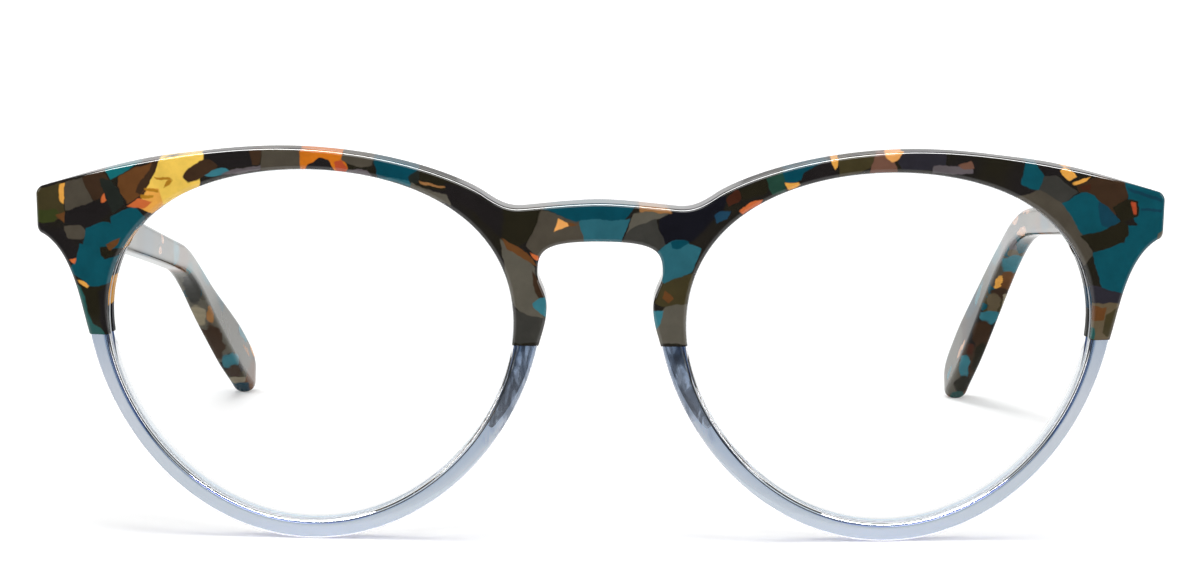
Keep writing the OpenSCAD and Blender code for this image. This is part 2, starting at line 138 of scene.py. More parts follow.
def back(p, d):
    """Points d mm inside the back of the front, behind the points p of its face."""
    x, z = p[..., 0], p[..., 1]
    t = FRONT_T + BRIDGE_EXTRA * np.exp(-((x / THICK_X) ** 2) - ((BRIDGE_TOP - z) / THICK_Z) ** 2)
    flat = smooth((x - AXIS_X + FLAT_IN) / FLAT_IN_RUN) * smooth((z - END_LOW + FLAT_LOW) / FLAT_LOW_RUN)
    q = at(p, t - d)
    q[..., 1] = q[..., 1] + (SEAT_Y - d - q[..., 1]) * flat
    return q


def upper_stations(f):
    """Inner point, outer point and the two directions into the material, round the upper half of one side.

    f is the number of stations for each one of the source. The last result is the station on the middle of the top.
    """
    j_out = np.array([opening(A_TEMPLE)[0] + RIM_TEMPLE, JOINT_Z])
    j_in = np.array([opening(A_NOSE)[0] - RIM_NOSE, JOINT_Z])
    c_low, c_top = np.array([END_X - 0.8, END_LOW]), np.array([END_X - 0.8, END_TOP])
    crown, dip = np.array([LENS_X + 2.5, FRONT_H]), np.array([GAP / 2 - 0.75, BRIDGE_TOP - BRIDGE_DIP])
    brow = dip + [4.5, 1.7]
    bulge, waist = np.array([KEYHOLE_W / 2, ARCH_TOP - 3.7]), np.array([WAIST_W / 2, ARCH_TOP - 7.9])
    side_low, side_top = np.array([END_X - 0.12, END_LOW + 1]), np.array([END_X, END_TOP - 1.1])
    line = side_low + (side_top - side_low) * (np.arange(1, f + 1) / f)[:, None]
    path = np.concatenate([
        [j_out],
        bezier([j_out, j_out + [1.15, 4], c_low - [3.6, 2.1], c_low], FLANK * f),
        bezier([c_low, c_low + [0.4, 0.1], [END_X - 0.15, END_LOW + 0.5], side_low], CORNER * f),
        line,
        bezier([side_top, [END_X, END_TOP - 0.6], c_top + [0.4, -0.1], c_top], CORNER * f),
        bezier([c_top, c_top + [-0.6, 0.2], crown + [13.6, 0], crown], CROWN_OUT * f),
        bezier([crown, crown - [12.6, 0], brow + [2, 1.3], brow], CROWN_IN * f),
        bezier([brow, brow - [1.8, 1.2], dip + [1.7, -0.05], dip], BROW * f),
        bezier([dip, dip + [-2.9, 0.25], [3, BRIDGE_TOP], [0, BRIDGE_TOP]], BRIDGE * f),
        [[0, ARCH_TOP]],
        bezier([[0, ARCH_TOP], [KEYHOLE_W * 0.45, ARCH_TOP], bulge + [0, 2.6], bulge], KEYHOLE * f),
        bezier([bulge, bulge - [-0.05, 1.4], waist + [0, 1.8], waist], WAIST * f),
        bezier([waist, waist - [0, 1.8], j_in + [-0.35, 1.4], j_in], FOOT * f),
    ])
    # angles of the lens opening that face those points
    end = 2 * CORNER + 1
    ang = np.concatenate([
        [A_TEMPLE], spread(A_TEMPLE, 16, FLANK * f), spread(16, 28, end * f), spread(28, 82, CROWN_OUT * f),
        spread(82, 138, CROWN_IN * f), spread(138, 143, BROW * f), spread(143, 147, BRIDGE * f), [149],
        spread(149, 168, KEYHOLE * f), spread(168, 176, WAIST * f), spread(176, A_NOSE, FOOT * f),
    ])
    top = (FLANK + end + CROWN_OUT + CROWN_IN + BROW + BRIDGE) * f
    inner = opening(ang)
    din = opening_out(ang)
    step = np.zeros_like(path)
    step[1:-1] = path[2:] - path[:-2]
    step[0], step[-1] = path[1] - path[0], path[-1] - path[-2]
    step = unit(step)
    dout = -np.stack([step[:, 1], -step[:, 0]], -1)
    din[0], dout[0] = [1, 0], [-1, 0]
    din[-1], dout[-1] = [-1, 0], [1, 0]
    dout[top], dout[top + 1] = [0, -1], [0, 1]
    return inner, path, din, dout, top


def lower_stations(steps):
    """The same round a lower rim: an even band that widens towards the joint line."""
    a = np.linspace(A_NOSE, 360 + A_TEMPLE, steps + 1)
    near = np.clip(1 - np.minimum(a - A_NOSE, 360 + A_TEMPLE - a) / JOINT_FADE, 0, None) ** 2
    nose = a < 270
    c = np.cos(np.radians(a)) ** 2
    w = RIM_BOTTOM + (np.where(nose, RIM_NOSE_LOW, RIM_TEMPLE_LOW) - RIM_BOTTOM) * c
    w = w + (np.where(nose, RIM_NOSE, RIM_TEMPLE) - w) * near
    o = opening_out(a)
    side = np.stack([np.where(nose, -1.0, 1.0), np.zeros_like(a)], -1)
    d = unit(o + (side - o) * near[:, None])
    return opening(a), opening(a) + w[:, None] * d, d, -d


def arc(r, steps, turn):
    """Corner of a profile: (along the face, depth) pairs of a quarter round of radius r, from the face if turn."""
    t = np.linspace(0, math.pi / 2, steps + 1)
    along, deep = r - r * np.sin(t), r - r * np.cos(t)
    out = list(zip(along, deep))
    return out if turn else out[::-1]


def section(inner, outer, din, dout):
    """Closed cross-sections of the front at every station, from the bottom of the lens groove round to it."""
    rings = [at(inner + GROOVE_D * din, GROOVE_AT), at(inner, GROOVE_AT - GROOVE_W / 2)]
    for along, deep in arc(ROUND_IN, ARC_STEPS, False):
        rings.append(at(inner + along * din, deep))
    wi, wo = inner + ROUND_IN * din, outer + ROUND_OUT * dout
    mids = [wi + (wo - wi) * t for t in np.arange(1, FACE_STEPS) / FACE_STEPS]
    rings += [at(m, 0) for m in mids]
    first = len(rings)
    for along, deep in arc(ROUND_OUT, ARC_STEPS, True):
        rings.append(at(outer + along * dout, deep))
    for along, deep in arc(ROUND_OUT, ARC_STEPS, False):
        rings.append(back(outer + along * dout, deep))
    last = len(rings) - 1
    rings += [back(m, 0) for m in mids[::-1]]
    for along, deep in arc(ROUND_IN, ARC_STEPS, True):
        rings.append(back(inner + along * din, deep))
    rings.append(at(inner, GROOVE_AT + GROOVE_W / 2))
    return np.stack(rings, 1), first, last


def tube_faces(count, m, first=0, skip=None):
    """Side faces of count closed sections of m points, without those that skip names."""
    k, j = np.meshgrid(np.arange(count - 1), np.arange(m), indexing="ij")
    a = first + k * m + j
    b = first + k * m + (j + 1) % m
    f = np.stack([a, a + m, b + m, b], -1)
    if skip is not None:
        f = f[~skip(k, j)]
    return f.reshape(-1, 4).tolist()


def cap_low(m):
    return [list(range(m))]


def cap_high(count, m, first=0):
    return [[first + (count - 1) * m + j % m for j in range(m, 0, -1)]]


def make(name, verts, faces, body, replaced, flip=False, sharp=35.0):
    """A smooth mesh object, laid out square to the front and stood up with it."""
    v = np.asarray(verts, float) * MM
    if flip:
        v = v * [-1, 1, 1]
        faces = [f[::-1] for f in faces]
    stand = np.array(STANDING)
    v = v @ stand[:3, :3].T + stand[:3, 3]
    mesh = bpy.data.meshes.new(name)
    mesh.from_pydata(v.tolist(), [], [list(map(int, f)) for f in faces])
    mesh.validate()
    mesh.shade_smooth()
    mesh.set_sharp_from_angle(angle=math.radians(sharp))
    obj = bpy.data.objects.new(name, mesh)
    bpy.context.scene.collection.objects.link(obj)
    weigh = obj.modifiers.new("even", "WEIGHTED_NORMAL")
    weigh.keep_sharp = True
    bpy.context.view_layer.update()
    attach(obj, body)
    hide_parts(replaced)
    return obj


def closed(name, rings, replaced, flip, sharp=35.0):
    """A closed tube of cross-sections that rides on the front."""
    n, m = rings.shape[:2]
    return make(name, rings.reshape(-1, 3), tube_faces(n, m) + cap_low(m) + cap_high(n, m), "front", replaced,
                flip, sharp)


def build_upper():
    """One half of the upper front, joined to its mirror image across the bridge."""
    inner, outer, din, dout, top = upper_stations(FINE)
    rings, first, last = section(inner, outer, din, dout)
    n, m = rings.shape[:2]
    pts = rings.reshape(-1, 3)
    half = tube_faces(n, m, 0, lambda k, j: (k == top) & (j >= first) & (j < last))
    half += cap_low(m) + cap_high(n, m)
    other = pts * [-1, 1, 1]
    twin = np.where(np.abs(pts[:, 0]) < TINY, np.arange(len(pts)), np.arange(len(pts)) + len(pts))
    faces = half + [[int(twin[v]) for v in f[::-1]] for f in half]
    used = np.zeros(2 * len(pts), bool)
    for f in faces:
        used[f] = True
    index = np.cumsum(used) - 1
    verts = np.concatenate([pts, other])[used]
    return make("front_upper_acetate", verts, [[int(index[v]) for v in f] for f in faces],
                "front", "front_upper")


def build_lower(side, flip):
    rings, _, _ = section(*lower_stations(LOWER_STEPS * FINE_LOWER))
    return closed("lower_rim_clear_" + side, rings, "lower_rim_" + side, flip)


def resample(points, u):
    """Catmull-Rom through the rows of points, at parameter u counted in rows."""
    p = np.asarray(points, float)
    k = np.clip(np.floor(u).astype(int), 0, len(p) - 2)
    t = (u - k)[:, None]
    p0, p1, p2 = p[np.clip(k - 1, 0, None)], p[k], p[k + 1]
    p3 = p[np.clip(k + 2, None, len(p) - 1)]
    return 0.5 * (2 * p1 + (p2 - p0) * t + (2 * p0 - 5 * p1 + 4 * p2 - p3) * t ** 2
                  + (3 * p1 - p0 - 3 * p2 + p3) * t ** 3)


# Profile across a pad: the place from the rim's outer edge, or from its inner edge where it is negative, in mm, and
# the share of the pad's height
PAD_PROFILE = [(0.35, 0), (0.5, 0.3), (0.8, 0.6), (1.25, 0.86), (1.75, 0.98), (2.2, 0.97), (-0.6, 0.8), (-0.35, 0.4),
               (-0.4, 0)]
PAD_ROWS, PAD_ROUND, PAD_UP = 56, 33, 6  # rings, points in a ring, and stations of the dark half that it may reach


def build_pad(side, flip):
    inner, outer, _, _, _ = upper_stations(1)
    li, lo, _, _ = lower_stations(LOWER_STEPS)
    keep = [k for k in range(len(inner) - PAD_UP, len(inner) - 1) if outer[k, 1] <= PAD_TOP]
    low = [k for k in range(len(li)) if lo[k, 0] < LENS_X and lo[k, 1] >= PAD_LOW]
    pi, po = np.concatenate([inner[keep], li[low]]), np.concatenate([outer[keep], lo[low]])
    a = np.linspace(0, math.pi, PAD_ROWS + 1)
    u = (len(pi) - 1) * (1 - np.cos(a)) / 2
    ti, to = resample(pi, u), resample(po, u)
    w = np.linalg.norm(ti - to, axis=1)[:, None]
    d = (ti - to) / w
    # it fades in height and in width towards its ends
    s = np.sin(a).clip(0)
    h = PAD_H * (0.05 + 0.95 * s ** 1.4)
    g = (0.3 + 0.7 * s ** 0.7)[:, None]
    coarse = []
    for q, up in PAD_PROFILE:
        place = w + q if q < 0 else np.full_like(w, q)
        coarse.append(np.concatenate([w / 2 + (place - w / 2) * g, (up * h)[:, None]], 1))
    coarse = np.stack(coarse, 0)
    uu = np.linspace(0, len(PAD_PROFILE) - 1, PAD_ROUND)
    fine = np.stack([resample(coarse[:, r], uu) for r in range(PAD_ROWS + 1)], 0)
    rings = np.stack([back(to + fine[:, j, :1] * d, -SEAT_FIT - fine[:, j, 1].clip(0)) for j in range(PAD_ROUND)], 1)
    return closed("nose_pad_clear_" + side, rings, "nose_pad_" + side, flip, sharp=50)


# Stations for each one of the source above and in all below, and how far the bevel stays off the groove's sides
LENS_FINE, LENS_LOWER_STEPS, BEVEL_ROOM = 2, 80, 0.1
LENS_ROWS = [1, 0.985, 0.9, 0.75, 0.6, 0.45, 0.3, 0.15]  # rings of its faces, as shares of the rim


def build_lens(side, flip):
    """A lens with its bevel. The slots of its material are the faces, the front edge, and the bevel and back edge."""
    inner, _, din, _, _ = upper_stations(LENS_FINE)
    li, _, ld, _ = lower_stations(LENS_LOWER_STEPS)
    p, d = np.concatenate([inner, li[1:-1]]), np.concatenate([din, ld[1:-1]])
    n = len(p)
    c = np.array([LENS_X, LENS_Z])
    rim = p - LENS_FIT * d
    bevel = GROOVE_W / 2 - BEVEL_ROOM
    face, rear = GROOVE_AT - LENS_T / 2, GROOVE_AT + LENS_T / 2
    rows = [at(c + (rim - c) * f, face) for f in LENS_ROWS[::-1]]
    rows += [at(rim, GROOVE_AT - bevel), at(p + (GROOVE_D - LENS_FIT) * d, GROOVE_AT), at(rim, GROOVE_AT + bevel)]
    rows += [at(c + (rim - c) * f, rear) for f in LENS_ROWS]
    pts = np.concatenate(rows + [at(c[None], face), at(c[None], rear)])
    faces = [f[::-1] for f in tube_faces(len(rows), n)]
    last = (len(rows) - 1) * n
    faces += [[(j + 1) % n, j, len(pts) - 2] for j in range(n)]
    faces += [[last + j, last + (j + 1) % n, len(pts) - 1] for j in range(n)]
    obj = make("lens_clear_" + side, pts, faces, "front", "lens_" + side, flip)
    slots = np.zeros(len(obj.data.polygons), np.int32)
    front_edge = (len(LENS_ROWS) - 1) * n
    slots[front_edge:front_edge + n], slots[front_edge + n:front_edge + 4 * n] = 1, 2
    for _ in range(3):
        obj.data.materials.append(None)
    obj.data.polygons.foreach_set("material_index", slots)
    return obj


# Temples, in the same terms as the source: c holds the drop and the bend
HINGE_FLAT = LEAF_LEN + 4
# Lengths over which a temple starts to turn in, turns in further, thins and leans, and its even length at the tip
TOE_RUN, TOE_TIP_RUN, THIN_RUN, LEAN_RUN, TIP_EVEN = 15, 20, 24, 15, 6
EDGE_R, EDGE_R_TIP, CORNER_MOST = 0.95, 0.6, 0.47  # corner radius, what it gains at the tip, most share of a side
TIP_LONG, TIP_FALL, TIP_NARROW = 5.4, 3.3, 0.3  # the upper edge rounds over, and the end narrows
SWELL, SWELL_FROM, SWELL_RUN = 0.9, 45, 42  # how much higher the tip gets, from where, and over what length
SOFT_FROM, SOFT_RUN = 14, 12  # where the corners grow softer, and over what length
RINGS, END_RINGS, CORNER_STEPS = 150, 8, 5
CAP = [0, 10, 20, 30, 40, 50, 60, 70, 80, 88]  # degrees round the tip at which its last rings stand


def temple_line(c, s):
    """Middle, upward direction, thickness and height at s mm from the hinge."""
    drop, bend = math.radians(c[0]), math.radians(c[1])
    length = BEND_R * bend
    start, end = BEND_AT - length / 2, BEND_AT + length / 2
    a = drop + bend * np.clip((s - start) / length, 0, 1)
    y = np.minimum(s, start) * math.cos(drop) + BEND_R * (np.sin(a) - math.sin(drop))
    z = -np.minimum(s, start) * math.sin(drop) + BEND_R * (np.cos(a) - math.cos(drop))
    rest = np.maximum(0, s - end)
    y, z = y + rest * math.cos(drop + bend), z - rest * math.sin(drop + bend)
    soft = lambda t, w: np.where(t < 0, 0, np.where(t < w, t * t / (2 * w), t - w / 2))
    inward = TOE_IN * soft(s - HINGE_FLAT, TOE_RUN) + TOE_IN_TIP * soft(s - BEND_AT, TOE_TIP_RUN)
    thick = TEMPLE_T + (TEMPLE_T_BACK - TEMPLE_T) * smooth((s - HINGE_FLAT) / THIN_RUN)
    tip = smooth((s - BEND_AT) / (TEMPLE_LEN - BEND_AT - TIP_EVEN))
    high = np.where(s < BEND_AT, TEMPLE_H + (TEMPLE_H_BEND - TEMPLE_H) * smooth(s / BEND_AT),
                    TEMPLE_H_BEND + (TEMPLE_H_TIP - TEMPLE_H_BEND) * tip)
    lean = a * np.clip(s / LEAN_RUN, 0, 1)
    mid = np.stack([TEMPLE_IN + thick / 2 - inward, BUTT_Y + y, HINGE_Z + z], -1)
    up = np.stack([np.zeros_like(s), np.sin(lean), np.cos(lean)], -1)
    return mid, up, thick, high


def rounded(w, h, r, steps):
    """Rectangle with round corners, clockwise from its right upper side."""
    pts = []
    for cx, cy, a0 in ((1, -1, 0), (-1, -1, -90), (-1, 1, -180), (1, 1, -270)):
        for k in range(steps + 1):
            t = math.radians(a0 - 90 * k / steps)
            pts.append((cx * (w / 2 - r) + r * math.cos(t), cy * (h / 2 - r) + r * math.sin(t)))
    return pts


def temple_rings(c, s, kw, over, under):
    """Rounded cross-sections, narrowed to kw and cut by over mm at the top and under mm below."""
    mid, up, thick, high = temple_line(c, s)
    soft = EDGE_R + EDGE_R_TIP * smooth((s - TEMPLE_LEN + SOFT_FROM) / SOFT_RUN)
    out = []
    for i in range(len(s)):
        w, h = thick[i] * kw[i], high[i] - over[i] - under[i]
        r = min(soft[i], w * CORNER_MOST, h * CORNER_MOST)
        centre = mid[i] + (under[i] - over[i]) / 2 * up[i]
        out.append([centre + [x, 0, 0] + z * up[i] for x, z in rounded(w, h, r, CORNER_STEPS)])
    return np.array(out)


def build_temple(side, c, flip):
    wire_end = TEMPLE_LEN - WIRE_SHORT
    s = np.concatenate([np.linspace(0, wire_end, RINGS),
                        np.linspace(wire_end + 0.6, TEMPLE_LEN - TIP_R - 0.3, END_RINGS)])
    a = np.radians(CAP)
    k = 1 - np.cos(a)
    s_all = np.concatenate([s, TEMPLE_LEN - TIP_R + TIP_R * np.sin(a)])
    kw = np.concatenate([np.ones(len(s)), 1 - k * TIP_NARROW])
    under = np.concatenate([np.zeros(len(s)), TIP_R * k])
    # the upper edge swells a little towards the tip and then rounds over gently
    t = np.clip((s_all - TEMPLE_LEN + TIP_LONG) / TIP_LONG, 0, 1)
    over = TIP_FALL * (1 - np.sqrt(1 - t * t)) - SWELL * smooth((s_all - TEMPLE_LEN + SWELL_FROM) / SWELL_RUN)
    body = temple_rings(c, s_all, kw, over, under)
    m = body.shape[1]
    mid, up, _, _ = temple_line(c, s[:RINGS])
    r = WIRE_D / 2 + SEAT_FIT
    turn = np.radians(90 - 180 / m - np.arange(m) * 360 / m)
    across = np.cos(turn)[None, :, None] * np.array([1.0, 0, 0])
    wire = mid[:, None] + r * (across + np.sin(turn)[None, :, None] * up[:, None])
    # the channel's ring starts on the right like the body's
    wire = np.roll(wire, -int(round(m / 4)), axis=1)
    nb, nc = len(body), len(wire)
    c0 = nb * m
    faces = tube_faces(nb, m) + cap_high(nb, m)
    faces += [f[::-1] for f in tube_faces(nc, m, c0)] + [f[::-1] for f in cap_high(nc, m, c0)]
    faces += [[c0 + (j + 1) % m, c0 + j, j, (j + 1) % m] for j in range(m)]
    pts = np.concatenate([body.reshape(-1, 3), wire.reshape(-1, 3)])
    return make("temple_acetate_" + side, pts, faces, "temple_" + side[0], "temple_" + side, flip)


# ---------------------------------------------------------------- materials
def linear(c, a=1.0):
    """An 8-bit display colour in linear light."""
    return tuple(((v / 255 / 12.92) if v <= 10 else ((v / 255 + 0.055) / 1.055) ** 2.4) for v in c) + (a,)


PLASTIC_IOR = 1.49


class Nodes:
    """Adds and links shader nodes in few words, in a new material or in the world."""

    def __init__(self, name, world=None):
        self.mat = world or bpy.data.materials.new(name)
        self.mat.use_nodes = True
        self.tree = self.mat.node_tree
        self.tree.nodes.clear()
        self.out = self.add("OutputWorld" if world else "OutputMaterial")

    def add(self, kind, props=None, **inputs):
        node = self.tree.nodes.new("ShaderNode" + kind)
        for k, v in (props or {}).items():
            setattr(node, k, v)
        for k, v in inputs.items():
            self.put(node, int(k[1:]) if k[0] == "_" else k.replace("_", " "), v)
        return node

    def put(self, node, key, v):
        sock = node.inputs[key]
        if isinstance(v, bpy.types.NodeSocket):
            self.tree.links.new(v, sock)
        elif isinstance(v, bpy.types.Node):
            self.tree.links.new(v.outputs[0], sock)
        else:
            sock.default_value = v

    def math(self, op, a, b=0.0, c=0.0, clamp=False):
        return self.add("Math", {"operation": op, "use_clamp": clamp}, _0=a, _1=b, _2=c).outputs[0]

    def line(self, a, slope, start):
        """start + slope * a, kept between 0 and 1."""
        return self.math("MULTIPLY_ADD", a, slope, start, True)

    def vec(self, op, a, b=(0, 0, 0)):
        node = self.add("VectorMath", {"operation": op}, _0=a, _1=b)
        return node.outputs[1] if op in ("LENGTH", "DISTANCE", "DOT_PRODUCT") else node.outputs[0]

    def axes(self, vector):
        return self.add("SeparateXYZ", Vector=vector).outputs

    def mix(self, f, a, b, blend="MIX"):
        return self.add("Mix", {"data_type": "RGBA", "blend_type": blend}, _0=f, _6=a, _7=b).outputs[2]

    def square(self):
        """Coordinates square to the front, in which the shapes and chips are laid out."""
        place = self.add("TexCoord").outputs["Object"]
        return self.add("Mapping", {"vector_type": "TEXTURE"}, Vector=place, Location=(0, -STAND_Y * MM, -STAND_Z * MM),
                        Rotation=(math.radians(LEAN), 0, 0)).outputs[0]

    def noise(self, vector, scale, detail=2.0, rough=0.5, twist=0.0, out=0):
        return self.add("TexNoise", Vector=vector, Scale=scale, Detail=detail, Roughness=rough,
                        Distortion=twist).outputs[out]

    def glass(self, tint, rough, shadow):
        """Clear plastic that casts a pale shadow."""
        solid = self.add("BsdfPrincipled", Base_Color=tint, Roughness=rough, IOR=PLASTIC_IOR,
                         Transmission_Weight=1.0)
        through = self.add("BsdfTransparent", Color=shadow)
        return self.add("MixShader", _0=self.add("LightPath").outputs["Is Shadow Ray"], _1=solid, _2=through)

    def ramp(self, f, stops, interp="LINEAR"):
        node = self.add("ValToRGB", Fac=f)
        el = node.color_ramp.elements
        node.color_ramp.interpolation = interp
        while len(el) < len(stops):
            el.new(0.5)
        for e, (pos, col) in zip(el, stops):
            e.position, e.color = pos, col
        return node.outputs[0]

    def surface(self, shader):
        self.tree.links.new(shader.outputs[0] if isinstance(shader, bpy.types.Node) else shader, self.out.inputs[0])
        return self.mat


# Shades of the chips, in 8 bits
SHADES = {
    "teal": (12, 74, 86), "teal_deep": (6, 66, 80), "teal_mid": (40, 94, 106), "teal_pale": (52, 112, 124),
    "teal_blue": (18, 58, 74), "teal_bright": (18, 100, 106), "teal_green": (36, 82, 78), "green": (34, 66, 54),
    "blue": (28, 62, 84), "navy": (20, 20, 27), "navy_grey": (42, 40, 47), "black": (30, 27, 27),
    "black_green": (33, 37, 33), "olive_black": (34, 31, 20), "olive": (62, 55, 33), "olive_dark": (54, 60, 28),
    "khaki": (94, 82, 62), "brown": (98, 62, 32), "brown_dark": (58, 41, 28), "brown_pink": (106, 74, 60),
    "red_dark": (66, 34, 22), "grey": (88, 84, 74), "grey_dark": (74, 68, 58), "grey_violet": (92, 85, 88),
    "char": (56, 55, 51), "yellow": (232, 192, 84), "amber": (222, 158, 70), "amber_light": (226, 158, 86),
    "amber_deep": (196, 108, 24), "amber_dull": (148, 104, 62), "ochre": (170, 118, 32), "orange": (196, 100, 52),
    "orange_red": (172, 72, 42), "peach": (206, 160, 132), "beige": (140, 130, 108),
}

